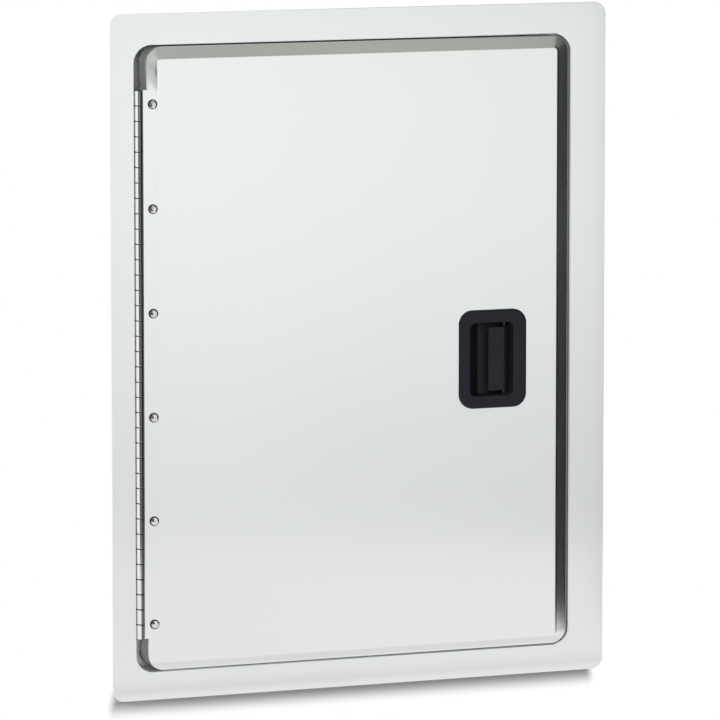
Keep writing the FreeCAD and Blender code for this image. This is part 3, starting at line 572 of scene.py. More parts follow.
# Noise has waves per metre, and a relief is metres deep
GRAIN_SCALE = (1800.0, 1800.0, 14.0)
GRAIN_DEPTH, POLISHED_DEPTH, GRAIN_RELIEF = 0.00002, 0.00001, 0.35
GRAIN_TONE, CLOUD_TONE = 0.3, 0.7
STEEL_CLOUD_SCALE = 7.0
SMEAR_SCALE, SMEARS = 42.0, (0.56, 0.74)
MOULD_CLOUD_SCALE, MOULD_CLOUD_ROUGH = 60.0, 0.16
SPECK_SCALE, SPECK_DEPTH, SPECK_RELIEF = 2200.0, 0.00003, 0.4

# Where the polished face of the sheet ends behind its bend, and how dull it is past that
MILL_FROM, MILL_TO = 0.8, 1.8
MILL_DULL, MILL_METAL_LOSS = 0.28, 0.5

# Oil and painted shade lie this far from a joint, and painted shade darkens the barrel past its middle, on its side
# towards the door
OIL_AND_SHADE = (0.04, 0.04, 0.043)
OIL_AND_SHADE_REACH = (0.2, 0.65)
PAINTED_SHADE_SIDE, PAINTED_SHADE_SIDE_SHARE = (-0.9, 0.1), 0.88

# Painted shade: the dark rim of a rivet head starts at these shares of its radius
PAINTED_RIM_SHADE = (0.06, 0.06, 0.06)
RIM_START = (0.7, 0.86)

# Painted shade darkens the cup and makes it matt from this deep on, and painted light lightens its floor from this far
# beside the latch's middle
CUP_PAINTED_SHADE, CUP_PAINTED_LIGHT = (0.004, 0.004, 0.004), (0.045, 0.045, 0.05)
CUP_SHADE_DEPTH, CUP_MATT_ROUGH = (1.5, 4.0), 0.4
CUP_LIGHT_SIDE = (-7.8, -5.8)


def rgba(shade, share=1.0):
    """A colour of three parts as a node takes it, lighter or darker by a share."""
    return (*(min(part * share, 1.0) for part in shade), 1.0)


def finish_of(name):
    material = bpy.data.materials.new(name)
    material.use_nodes = True
    return material, Graph(material.node_tree)


def show(graph, shader):
    """End a material with its shader."""
    graph.add("ShaderNodeOutputMaterial", None, {"Surface": shader})


def surface(graph, relief, strength, depth, inputs):
    """The material's surface, with a fine relief."""
    bump = graph.add(
        "ShaderNodeBump", None, {"Strength": strength, "Distance": depth, "Height": relief}
    )
    show(graph, graph.add("ShaderNodeBsdfPrincipled", None, {**inputs, "Normal": bump}))


def oil_and_painted_shade(graph, place, tone):
    """Oil and painted shade in the joints between the hinge's knuckles, and painted shade on the side towards the
    door.
    """
    x, _, z = graph.parts(place)
    # Oil with painted shade at the joints, and painted shade on the barrel's side towards the door
    steps = (z - HINGE_LOW * MM) / (KNUCKLE_PITCH * MM)
    off = abs(steps - round(steps)) * KNUCKLE_PITCH
    side = graph.step(x, *((HINGE_X + edge) * MM for edge in PAINTED_SHADE_SIDE))
    unshaded = graph.step(off, *OIL_AND_SHADE_REACH) * (1 - PAINTED_SHADE_SIDE_SHARE * side)
    return graph.blend(unshaded, rgba(OIL_AND_SHADE), tone)


def painted_rim_shade(graph, place, tone):
    """A rim of painted shade round the head of each rivet in the door, which darkens the head's edge."""
    x, _, z = graph.parts(place)
    steps = (z - RIVET_FIRST * MM) / (RIVET_PITCH * MM)
    up = (steps - round(steps)) * RIVET_PITCH
    off = graph.length(x / MM - RIVET_X, up)
    rim = graph.step(off, *(share * RIVET_HEAD for share in RIM_START))
    return graph.blend(rim, tone, rgba(PAINTED_RIM_SHADE))


def steel(name, shade, rough, grain, smudge, depth=GRAIN_DEPTH, polished_face=False, marks=None):
    """Stainless steel: fine upright grain, faint clouding and handling marks.

    A sheet with a polished face keeps the mill's duller surface behind it. The marks are a function that adds further
    ones, painted shade among them, to the tone.
    """
    material, graph = finish_of(name)
    place = graph.place()
    stretched = graph.add("ShaderNodeMapping", None, {"Vector": place, "Scale": GRAIN_SCALE})
    lines = graph.noise(stretched, 1.0, 3.0)
    cloud = graph.noise(place, STEEL_CLOUD_SCALE, 2.0)
    smears = graph.noise(place, SMEAR_SCALE, 5.0, Roughness=0.6, Distortion=0.4)
    rubbed = graph.step(smears, *SMEARS)
    uneven = cloud * CLOUD_TONE + lines * GRAIN_TONE
    tone = graph.blend(uneven, rgba(shade, 0.97), rgba(shade, 1.03))
    roughness = rough + grain * (lines - 0.5) + smudge * (cloud - 0.5) + 0.5 * smudge * rubbed
    metallic = 1.0
    if polished_face:
        behind = graph.step(graph.parts(place)[1], MILL_FROM * MM, MILL_TO * MM)
        roughness = roughness + MILL_DULL * behind
        metallic = 1 - MILL_METAL_LOSS * behind
    if marks:
        tone = marks(graph, place, tone)
    inputs = {"Base Color": tone, "Metallic": metallic, "Roughness": roughness}
    surface(graph, lines, GRAIN_RELIEF, depth, inputs)
    return material


def moulded(name, shade, rough, gloss=0.5, speck=SPECK_SCALE, cup=False):
    """Moulded plastic with a fine spark-eroded texture and a slightly rubbed sheen.

    The latch's cup is left matt inside and darkened with painted shade, and its floor by the bar is lightened with
    painted light.
    """
    material, graph = finish_of(name)
    place = graph.place()
    pits = graph.noise(place, speck, 2.0)
    cloud = graph.noise(place, MOULD_CLOUD_SCALE, 4.0)
    tone = graph.blend(cloud, rgba(shade, 0.8), rgba(shade, 1.25))
    roughness = rough + MOULD_CLOUD_ROUGH * (cloud - 0.5)
    if cup:
        # Painted shade deep in the cup, and painted light on its floor by the bar
        x, y, _ = graph.parts(place)
        inside = graph.step(y, *((PLATE_FRONT + deep) * MM for deep in CUP_SHADE_DEPTH))
        by_bar = graph.step(x, *((LATCH_X + side) * MM for side in CUP_LIGHT_SIDE))
        inner = graph.blend(by_bar, rgba(CUP_PAINTED_SHADE), rgba(CUP_PAINTED_LIGHT))
        tone = graph.blend(inside, tone, inner)
        roughness = roughness + CUP_MATT_ROUGH * inside * (1 - by_bar)
    inputs = {"Base Color": tone, "Roughness": roughness, "Specular IOR Level": gloss}
    surface(graph, pits, SPECK_RELIEF, SPECK_DEPTH, inputs)
    return material


DOOR_STEEL = steel("door_steel", (0.83, 0.84, 0.835), 0.15, 0.04, 0.05, polished_face=True)
FRAME_STEEL = steel("frame_steel", (0.82, 0.83, 0.83), 0.17, 0.04, 0.05, polished_face=True)
INNER_STEEL = steel("inner_steel", (0.7, 0.71, 0.7), 0.3, 0.08, 0.12)
# The hinge's marks: oil and painted shade at the joints, painted shade on the barrel's side towards the door
HINGE_STEEL = steel(
    "hinge_steel", (0.86, 0.86, 0.865), 0.12, 0.03, 0.04, POLISHED_DEPTH, marks=oil_and_painted_shade
)
RIVET_STEEL = steel("rivet_steel", (0.8, 0.8, 0.8), 0.1, 0.02, 0.05, POLISHED_DEPTH)
# The heads' marks: a rim of painted shade
HEAD_STEEL = steel(
    "head_steel", (0.72, 0.72, 0.72), 0.1, 0.02, 0.05, POLISHED_DEPTH, marks=painted_rim_shade
)
FASTENER_STEEL = steel("fastener_steel", (0.6, 0.6, 0.6), 0.28, 0.05, 0.1)
PIN_STEEL = steel("pin_steel", (0.12, 0.12, 0.12), 0.35, 0.05, 0.1)
SPRING_STEEL = steel("spring_steel", (0.5, 0.5, 0.5), 0.3, 0.05, 0.05)
LATCH_BLACK = moulded("latch_black", (0.016, 0.0185, 0.029), 0.42, gloss=0.24)
# The cup's finish carries painted shade inside and painted light by the bar
CUP_BLACK = moulded("cup_black", (0.016, 0.0185, 0.029), 0.42, gloss=0.24, cup=True)
BOLT_BLACK = moulded("bolt_black", (0.05, 0.05, 0.05), 0.4)
SEAL_RUBBER = moulded("seal_rubber", (0.03, 0.03, 0.03), 0.75, speck=900.0)


def dress(thing, finish):
    """Give the thing this finish and no other."""
    thing.data.materials.clear()
    thing.data.materials.append(finish)


# ---- the trim frame ---------------------------------------------------------------------


def flange_ring(inset, y):
    """The flange's outer edge, moved in."""
    return outline(
        FRAME_LEFT + inset,
        FRAME_RIGHT - inset,
        FRAME_BOTTOM + inset,
        FRAME_TOP - inset,
        FRAME_CORNER - inset,
        y,
    )


def opening_ring(outset, y):
    """The edge of the opening, moved out."""
    return outline(
        OPEN_LEFT - outset,
        OPEN_RIGHT + outset,
        OPEN_BOTTOM - outset,
        OPEN_TOP + outset,
        OPEN_CORNER + outset,
        y,
    )


def make_frame():
    """The flat flange, bent back at the opening into the sleeve with its screw holes."""
    rings = [flange_ring(0, 0), flange_ring(0, FRONT + CUT_EDGE)]
    rings += [flange_ring(CUT_EDGE, FRONT), flange_ring(FLAT_MARGIN, FRONT)]
    rings.append(opening_ring(FRAME_BEND + FLAT_MARGIN, FRONT))
    steps = 8
    for n in range(steps + 1):
        angle = math.pi / 2 * n / steps
        out, back = FRAME_BEND * (1 - math.sin(angle)), FRAME_BEND * (1 - math.cos(angle))
        rings.append(opening_ring(out, FRONT + back))
    rings += [opening_ring(0, SLEEVE_BACK - CUT_EDGE), opening_ring(CUT_EDGE, SLEEVE_BACK)]
    rings += [opening_ring(SHEET, SLEEVE_BACK), opening_ring(SHEET, 0)]
    bm = bmesh.new()
    add_rings(bm, rings, ends="joined")
    thing = finished(bm, "trim_frame_sheet")
    drills = bmesh.new()
    for z in SCREW_HOLES_Z:
        place = Matrix.Translation(Vector((0, SCREW_HOLE_Y, z)) * MM)
        bmesh.ops.create_cone(
            drills,
            cap_ends=True,
            segments=32,
            radius1=SCREW_HOLE_RADIUS * MM,
            radius2=SCREW_HOLE_RADIUS * MM,
            depth=DRILL_LENGTH * MM,
            matrix=place @ Matrix.Rotation(math.pi / 2, 4, "Y"),
        )
    cut_away(thing, finished(drills, "drills"))
    dress(thing, FRAME_STEEL)
    return thing


# ---- the door skin ----------------------------------------------------------------------


def eased(share):
    """A share between 0 and 1 that starts and ends gently."""
    share = min(max(share, 0.0), 1.0)
    return share * share * (3 - 2 * share)


def hinge_side_slope(z):
    """How much of the border's slope is left on the hinge side: little beside the hinge."""
    high, low = HINGE_HIGH - SLOPE_FADE, HINGE_LOW + SLOPE_FADE
    above = eased((z - high) / (DOOR_TOP - DOOR_CORNER - FADE_START - high))
    below = eased((low - z) / (low - DOOR_BOTTOM - DOOR_CORNER - FADE_START))
    return HINGE_SIDE_SLOPE + (1 - HINGE_SIDE_SLOPE) * max(above, below)


def hinge_side_heights():
    """Heights up the hinge side, close together where the slope fades and at the tab's ends."""
    foot, head = DOOR_BOTTOM + DOOR_CORNER, DOOR_TOP - DOOR_CORNER
    ends, fades, middles = 14, 4, 8
    heights = [foot + (HINGE_LOW - foot) * n / ends for n in range(ends + 1)]
    heights += [HINGE_LOW + SLOPE_FADE * n / fades for n in range(1, fades + 1)]
    between = HINGE_HIGH - HINGE_LOW - 2 * SLOPE_FADE
    heights += [HINGE_LOW + SLOPE_FADE + between * n / middles for n in range(1, middles)]
    heights += [HINGE_HIGH - SLOPE_FADE * n / fades for n in range(fades, 0, -1)]
    heights += [HINGE_HIGH + (head - HINGE_HIGH) * n / ends for n in range(ends + 1)]
    return heights


def border_sink(lean):
    """How far the border has gone down: a quick dip at the crease, then an even slope."""
    if lean <= 0:
        return 0.0
    even = 1 / (1 - CREASE / 2 + CREASE_DIP * CREASE / 2)
    share = min(lean / CREASE, 1.0)
    turned = 2 * math.pi * share
    dip = CREASE_DIP * (share - math.sin(turned) / 2 / math.pi) / 2
    return even * (CREASE * (share * share / 2 + dip) + max(lean - CREASE, 0.0))


def hinge_side_sink(lean):
    """The same on the hinge side, where the border is steepest at its crease."""
    steps = 100
    slopes = []
    for n in range(steps):
        share = (n + 0.5) / steps
        steep = 1 + HINGE_SIDE_DIP * (1 - share) ** 3
        slopes.append(steep * eased(share / HINGE_SIDE_CREASE))
    return sum(slopes[: round(lean * steps)]) / sum(slopes)


def border_ring(lean, inset=0.0, behind=0.0, rise=0.0, tab=False):
    """The skin's outline part of the way over its sloping border, inside or behind by a bit.

    At the rim the sheet runs on beside the hinge, as a tab that reaches the barrel.
    """
    left = DOOR_LEFT + (1 - lean) * BORDER_LEFT + inset
    drop = BORDER_DROP * border_sink(lean) - rise
    corner = BORDER_CORNER + lean * (DOOR_CORNER - BORDER_CORNER) - inset
    side = []
    wide_drop = BORDER_DROP * hinge_side_sink(lean) - rise
    for z in hinge_side_heights():
        in_from_corner = min(z - DOOR_BOTTOM - DOOR_CORNER, DOOR_TOP - DOOR_CORNER - z)
        wide = eased(in_from_corner / CREASE_SPREAD)
        side_drop = drop * (1 - wide) + wide_drop * wide
        y = FRONT + side_drop * hinge_side_slope(z) + behind
        if z == HINGE_LOW:
            side.append((left, y, z - TAB_STEP))
        beside_hinge = HINGE_LOW <= z <= HINGE_HIGH
        side.append((TAB_LEFT + inset if tab and beside_hinge else left, y, z))
        if z == HINGE_HIGH:
            side.append((left, y, z + TAB_STEP))
    return outline(
        left,
        DOOR_RIGHT - (1 - lean) * BORDER_RIGHT - inset,
        DOOR_BOTTOM + (1 - lean) * BORDER_BOTTOM + inset,
        DOOR_TOP - (1 - lean) * BORDER_TOP - inset,
        max(corner, LEAST_CORNER),
        FRONT + drop + behind,
        side,
    )


def make_skin():
    """The door's outer sheet, its panel flat and its border sloping back to the returns."""
    through_crease = [0.0, 0.02, 0.04, 0.06, 0.08, 0.1, 0.12, 0.14, 0.17, 0.2, 0.24, CREASE]
    leans = through_crease + [0.34, 0.4, 0.46, 0.52, 0.6, 0.7, 0.82]
    outer = [border_ring(lean) for lean in leans]
    inner = [border_ring(lean, behind=SHEET) for lean in leans]
    near = RIM_BEND + RIM_LEAD
    outer.append(border_ring(1.0, near, rise=RIM_SLOPE * near, tab=True))
    steps = 7
    for n in range(steps + 1):
        angle = math.radians(RIM_ANGLE + (90 - RIM_ANGLE) * n / steps)
        inset = RIM_BEND * (1 - math.sin(angle))
        behind = RIM_BEND * (math.cos(math.radians(RIM_ANGLE)) - math.cos(angle))
        rise = RIM_SLOPE * RIM_BEND * RIM_LIFT
        outer.append(border_ring(1.0, inset, behind, rise, tab=True))
    deep = DOOR_BACK - FRONT - BORDER_DROP
    back = [
        border_ring(1.0, 0.0, deep - CUT_EDGE, tab=True),
        border_ring(1.0, CUT_EDGE, deep, tab=True),
        border_ring(1.0, SHEET, deep, tab=True),
    ]
    inner.append(border_ring(1.0, SHEET, SHEET, RIM_SLOPE * SHEET, tab=True))
    flat = border_ring(leans[0], FLAT_MARGIN)
    under = border_ring(leans[0], FLAT_MARGIN, SHEET)
    bm = bmesh.new()
    add_rings(bm, [flat] + outer + back + inner[::-1] + [under])
    thing = finished(bm, "door_skin")
    cuts = bmesh.new()
    slope = HINGE_SIDE_SLOPE * BORDER_DROP
    box_between(
        cuts,
        (TAB_LEFT - PROUD, FRONT + SHEET + slope, HINGE_LOW - KNUCKLE_GAP),
        (DOOR_LEFT + SHEET, DOOR_BACK + PROUD, HINGE_HIGH - CUT_SHORT),
    )
    box_between(
        cuts,
        (LATCH_X - CUTOUT_X, FRONT - PROUD, LATCH_Z - CUTOUT_Z),
        (LATCH_X + CUTOUT_X, FRONT + SHEET + PROUD, LATCH_Z + CUTOUT_Z),
    )
    cut_away(thing, finished(cuts, "cuts"))
    dress(thing, DOOR_STEEL)
    return thing


# ---- the hinge-side stop ----------------------------------------------------------------


def make_hinge_side_stop():
    """The stop strip, with a corner plate at each end that closes the gap to the next stop."""
    things = [copied("hinge_side_stop", "strip", FINE_EDGE)]
    for edge, way in ((OPEN_TOP, -1), (OPEN_BOTTOM, 1)):
        points = [(OPEN_LEFT, edge + way * GUSSET_REACH)]
        for n in range(CORNER_STEPS + 1):
            angle = math.pi / 2 * n / CORNER_STEPS
            x = OPEN_LEFT + OPEN_CORNER - OPEN_CORNER * math.cos(angle)
            points.append((x, edge + way * OPEN_CORNER * (1 - math.sin(angle))))
        points.append((OPEN_LEFT + GUSSET_REACH, edge))
        points.append((OPEN_LEFT + GUSSET_REACH, edge + way * GUSSET_LIP))
        points.append((OPEN_LEFT + GUSSET_LIP, edge + way * GUSSET_LIP))
        points.append((OPEN_LEFT + GUSSET_LIP, edge + way * GUSSET_REACH))
        bm = bmesh.new()
        add_rings(bm, [[(x, y, z) for x, z in points] for y in (GUSSET_Y, GUSSET_Y + SHEET)])
        things.append(finished(bm, "gusset"))
    thing = merged("hinge_side_stop_piece", things)
    dress(thing, INNER_STEEL)
    return thing


# ---- the piano hinge --------------------------------------------------------------------


def knuckle_profile(length):
    """A knuckle with eased ends, and a ring by each that keeps its side straight."""
    ease = KNUCKLE_EASE
    return [
        (TIP, 0),
        (BARREL - ease, 0),
        (BARREL - ease * 0.3, ease * 0.3),
        (BARREL, ease),
        (BARREL, ease + KNUCKLE_REST),
        (BARREL, length - ease - KNUCKLE_REST),
        (BARREL, length - ease),
        (BARREL - ease * 0.3, length - ease * 0.3),
        (BARREL - ease, length),
        (TIP, length),
    ]


def make_hinge_half(name, first, tongue, plate):
    """Every second knuckle with its tongue, and the leaf that they belong to."""
    length = KNUCKLE_PITCH - KNUCKLE_GAP
    count = (KNUCKLES - first + 1) // 2
    low = HINGE_LOW + first * KNUCKLE_PITCH + KNUCKLE_GAP / 2
    step = (0, 0, 2 * KNUCKLE_PITCH)
    barrel = lathed("barrel", knuckle_profile(length), (0, 0, 1), segments=40)
    barrels = row_of(
        barrel, name + "_barrels", count, (HINGE_X, HINGE_Y, low), step, HINGE_STEEL
    )
    bm = bmesh.new()
    box_between(bm, *tongue)
    tongues = row_of(
        finished(bm, "tongue"), name + "_tongues", count, (0, 0, low), step, HINGE_STEEL
    )
    bm = bmesh.new()
    box_between(bm, *plate)
    leaf = finished(bm, name + "_leaf")
    ease_edges(leaf, FINE_EDGE)
    thing = merged(name, [barrels, tongues, leaf])
    dress(thing, HINGE_STEEL)
    return thing


def make_hinge():
    """Both halves: each has a tongue and a leaf, given as two corners of a box."""
    length = KNUCKLE_PITCH - KNUCKLE_GAP
    reach = BARREL + KNUCKLE_NOTCH_GAP
    frame_half = make_hinge_half(
        "hinge_half_on_frame",
        0,
        (
            (HINGE_X - BARREL, HINGE_Y, 0),
            (HINGE_X - BARREL + LEAF_SHEET, HINGE_Y + reach + TONGUE_LAP, length),
        ),
        (
            (OPEN_LEFT, HINGE_Y + reach, HINGE_LOW),
            (OPEN_LEFT + LEAF_SHEET, HINGE_Y + LEAF_WIDTH, HINGE_HIGH),
        ),
    )
    door_half = make_hinge_half(
        "hinge_half_on_door",
        1,
        (
            (HINGE_X, HINGE_Y + BARREL - LEAF_SHEET, 0),
            (HINGE_X + reach + TONGUE_LAP, HINGE_Y + BARREL, length),
        ),
        (
            (TAB_LEFT, FRONT + SHEET, HINGE_LOW),
            (HINGE_X + LEAF_WIDTH, FRONT + SHEET + LEAF_SHEET, HINGE_HIGH),
        ),
    )
    return frame_half, door_half


# ---- rivets -----------------------------------------------------------------------------


def rivet_profile(head, height, tail_height):
    """A blind rivet: flat brim, domed head, sunk stub of the mandrel, shank and set tail."""
    grip = SHEET + LEAF_SHEET
    brim, pit = 0.12, 0.2
    points = [(TIP, -grip - tail_height), (RIVET_TAIL * 0.8, -grip - tail_height)]
    points += [(RIVET_TAIL, -grip - tail_height * 0.7), (RIVET_TAIL, -grip)]
    points += [(RIVET_SHANK, -grip), (RIVET_SHANK, 0.0), (head * 0.985, 0.0)]
    points += [(head, 0.05 * height), (head, brim * height)]
    steps = 16
    widest = math.acos(pit)
    for n in range(1, steps + 1):
        angle = widest * n / steps
        up = height * (brim + (1 - brim) * math.sin(angle))
        points.append((head * math.cos(angle), up))
    points += [(head * pit * 0.9, height * 0.96), (head * pit * 0.8, height * 0.9)]
    points += [(head * pit * 0.5, height * 0.89), (TIP, height * 0.9)]
    return points


def make_door_rivets():
    """The row of rivets whose heads show beside the hinge."""
    shape = rivet_profile(RIVET_HEAD, RIVET_HEAD_HEIGHT, RIVET_TAIL_HEIGHT)
    thing = row_of(
        lathed("rivet", shape, (0, -1, 0), segments=40),
        "door_rivet_row",
        RIVETS,
        (RIVET_X, FRONT, RIVET_FIRST),
        (0, 0, RIVET_PITCH),
        HEAD_STEEL,
        axis=(0, 1, 0),
        most_turn=2 * math.pi,
    )
    shade_smooth(thing.data, RIVET_SHARP)
    return thing


def make_frame_rivets():
    """The row of rivets that holds the hinge to the frame's sleeve."""
    shape = rivet_profile(FRAME_RIVET_HEAD, FRAME_RIVET_HEAD_HEIGHT, FRAME_RIVET_TAIL_HEIGHT)
    thing = row_of(
        lathed("rivet", shape, (1, 0, 0), segments=32),
        "frame_rivet_row",
        RIVETS,
        (OPEN_LEFT + LEAF_SHEET, FRAME_RIVET_Y, RIVET_FIRST),
        (0, 0, RIVET_PITCH),
        RIVET_STEEL,
        axis=(1, 0, 0),
        most_turn=2 * math.pi,
        seed=4,
    )
    shade_smooth(thing.data, RIVET_SHARP)
    return thing


# ---- the latch --------------------------------------------------------------------------


def plate_ring(inset, y):
    """The latch plate's edge, moved in."""
    return outline(
        PLATE_X - PLATE_HALF_X + inset,
        PLATE_X + PLATE_HALF_X - inset,
        LATCH_Z - PLATE_HALF_Z + inset,
        LATCH_Z + PLATE_HALF_Z - inset,
        PLATE_CORNER - inset,
        y,
    )


def cup_ring(inset, y):
    """The finger cup's edge, moved in."""
    return outline(
        LATCH_X - CUP_HALF_X + inset,
        LATCH_X + CUP_HALF_X - inset,
        LATCH_Z - CUP_HALF_Z + inset,
        LATCH_Z + CUP_HALF_Z - inset,
        max(CUP_CORNER - inset, LEAST_CUP_CORNER),
        y,
    )


def make_latch_surround():
    """The moulded surround: a crowned plate with a finger cup, and the posts behind it."""
    rings = [cup_ring(-CUP_WALL, CUP_BACK), cup_ring(-CUP_WALL, PLATE_BACK)]
    rings += [plate_ring(0.0, PLATE_BACK), plate_ring(0.0, PLATE_FRONT + PLATE_EDGE)]
    steps = 7
    angles = [math.pi / 2 * n / steps for n in range(1, steps + 1)]
    for angle in angles:
        out = PLATE_EDGE * (1 - math.sin(angle))
        rings.append(plate_ring(PLATE_EDGE - PLATE_EDGE * math.cos(angle), PLATE_FRONT + out))
    rings += [plate_ring(inset, PLATE_FRONT - rise) for inset, rise in PLATE_CROWN]
    rings += [cup_ring(inset, PLATE_FRONT + drop) for inset, drop in CUP_BRINK]
    for angle in angles:
        drop = CUP_LIP_DROP + CUP_LIP * (1 - math.cos(angle))
        rings.append(cup_ring(CUP_LIP * (math.sin(angle) - 1), PLATE_FRONT + drop))
    rings += [cup_ring(inset, CUP_FLOOR - rise) for inset, rise in CUP_FOOT]
    bm = bmesh.new()
    add_rings(bm, rings)
    things = [finished(bm, "plate")]
    for side in (-1, 1):
        place = (PIVOT_X, PIVOT_Y, LATCH_Z + side * (CUP_HALF_Z + CUP_WALL - SUNK))
        things.append(stub("pin_boss", BOSS_RADIUS, BOSS_LENGTH, (0, 0, side), place))
        for post_side in (-1, 1):
            place = (LATCH_X + post_side * POST_X, CUP_BACK - SUNK, LATCH_Z + side * POST_Z)
            length = POST_BACK - CUP_BACK + SUNK
            things.append(stub("post", POST_RADIUS, length, (0, 1, 0), place))
    thing = merged("latch_surround", things, LATCH_SHARP)
    dress(thing, CUP_BLACK)
    return thing


# ---- camera and studio ------------------------------------------------------------------

CAMERA_TURN = 22.0
CAMERA_RISE = 7.03
CAMERA_DISTANCE = 5.01
CAMERA_LENS = 298.7
CAMERA_AIM = (-1.7, -1.2, 265.7)

# The studio is in metres, and in degrees round the door from straight in front
WORLD_LEVEL = 0.25
FLOOR_REACH, FLOOR_GAP = 14.0, 0.0002
FLOOR_SHADE = 0.6
SHADOW_REACH = 0.085
SHADOW_LEFT, SHADOW_RIGHT = -0.2185, 0.206
SHADOW_SIDE_FADE, SHADOW_SHEAR = 9.0, 0.4

# What polished metal sees of the floor: an even level, a band of painted shadow near the frame, and a dark part
# painted to its right
FLOOR_MIRRORED, FLOOR_TINT = 0.97, (0.975, 0.98, 1.0)
FLOOR_BAND, FLOOR_BAND_PLACE = 0.12, (0.028, 0.064, 0.012)
DARK_FLOOR, DARK_FLOOR_SHEAR = 0.03, 0.62
DARK_FLOOR_RIGHT, DARK_FLOOR_BEFORE = (0.216, 0.226), (0.08, 0.1)

# The wall of cards: its size, and its level where no card or gap is, at the foot and above
CARD_RADIUS, CARD_HEIGHT, CARD_STEPS = 0.8, 2.2, 60
CARD_FROM, CARD_TO = -112.0, 112.0
WALL_LEVEL, WALL_HEAD_GAIN, WALL_HEAD = 0.46, 0.25, (0.9, 1.6)

# The cards and the gaps between them: two sides and the softness of the edges, and a level
KEY_CARD, KEY_LEVEL = (-3.0, 44.0, 1.5), 1.06
LEFT_GAP, LEFT_GAP_LEVEL = (-45.0, -17.0, 6.0), 0.12
NEAR_LEFT, NEAR_LEFT_FOOT_LEVEL, NEAR_LEFT_HEAD_LEVEL = (-17.0, -3.0, 2.0), 0.05, 0.66
SIDE_CARD, SIDE_CARD_LEVEL = (-99.0, -48.0, 3.0), 1.05
RIGHT_GAP, RIGHT_GAP_LEVEL = (45.5, 84.0, 1.5), 0.09
RIGHT_FOOT, RIGHT_FOOT_LEVEL = (45.5, 120.0, 1.5), 0.03
RIGHT_HEAD, RIGHT_HEAD_LEVEL = (39.0, 84.0, 3.0), 0.09

# The key card is a little darker to the right and towards its foot
KEY_TURN_LOSS, KEY_TURN = 0.08, (4.0, 40.0)
KEY_FOOT_LOSS, KEY_FOOT = 0.18, (-0.05, 0.36)

# Where a card ends upwards, and the tints from the wall's foot to its head
KEY_TOP, NEAR_LEFT_TOP = (0.55, 0.63), (0.38, 0.43)
TINT_RISE = (0.1, 0.6)
FOOT_TINT, MIDDLE_TINT, HEAD_TINT = (0.975, 0.985, 1.0), (0.97, 1.0, 0.975), (0.96, 1.0, 0.92)

FLAG_NEAR, FLAG_FAR = (0.350, -0.24), (0.68, -0.08)
FLAG_LEVEL = 0.012
# The grey ring of painted shade deep in the sleeve: its glow, and its gap, width, corner and place
TRAP_LEVEL = 0.36
TRAP_GAP, TRAP_WIDTH, TRAP_CORNER, TRAP_Y = 0.3, 22.0, 2.0, 43.5

# Place, aim, size and power in watts
OVERHEAD = (0.0, 0.36, 2.6), (0.0, 0.36, 0.0), (1.5, 0.72), 40.0
FRONT_FILL = (-0.9, -3.0, 1.5), (0.0, 0.0, 0.3), (2.0, 1.4), 26.0


def make_camera():
    """A long lens that looks a little down on the door from its hinge side."""
    turn, rise = math.radians(CAMERA_TURN), math.radians(CAMERA_RISE)
    ahead = Vector(
        (math.sin(turn) * math.cos(rise), math.cos(turn) * math.cos(rise), -math.sin(rise))
    )
    data = bpy.data.cameras.new("camera")
    data.lens = CAMERA_LENS
    data.clip_end = 50.0
    camera = bpy.data.objects.new("camera", data)
    camera.location = Vector(CAMERA_AIM) * MM - ahead * CAMERA_DISTANCE
    camera.rotation_euler = ahead.to_track_quat("-Z", "Y").to_euler()
    bpy.context.scene.collection.objects.link(camera)
    bpy.context.scene.camera = camera


def ray_kinds(graph, *kinds):
    """1 for each of these kinds of rays."""
    path = graph.add("ShaderNodeLightPath").socket.node
    return [Value(graph, path.outputs[f"Is {kind} Ray"]) for kind in kinds]


def seen_directly(graph):
    """1 for what the camera sees, also in a mirror or through glass."""
    camera, glossy, through = ray_kinds(graph, "Camera", "Glossy", "Transmission")
    return graph.math("MAXIMUM", graph.math("MAXIMUM", camera, glossy), through)


def make_world():
    """White to the camera and to polished metal, and a plain soft level to everything else."""
    world = bpy.data.worlds.new("studio")
    bpy.context.scene.world = world
    world.use_nodes = True
    graph = Graph(world.node_tree)
    seen = seen_directly(graph)
    strength = WORLD_LEVEL * (1 - seen) + seen
    inputs = {"Color": (1.0, 1.0, 1.0, 1.0), "Strength": strength}
    lit = graph.add("ShaderNodeBackground", None, inputs)
    graph.add("ShaderNodeOutputWorld", None, {"Surface": lit})


def glow(graph, strength, tint=(1.0, 1.0, 1.0)):
    """Plain light of one colour, or of a painted one."""
    tint = tint if isinstance(tint, Value) else rgba(tint)
    return graph.add("ShaderNodeEmission", None, {"Color": tint, "Strength": strength})


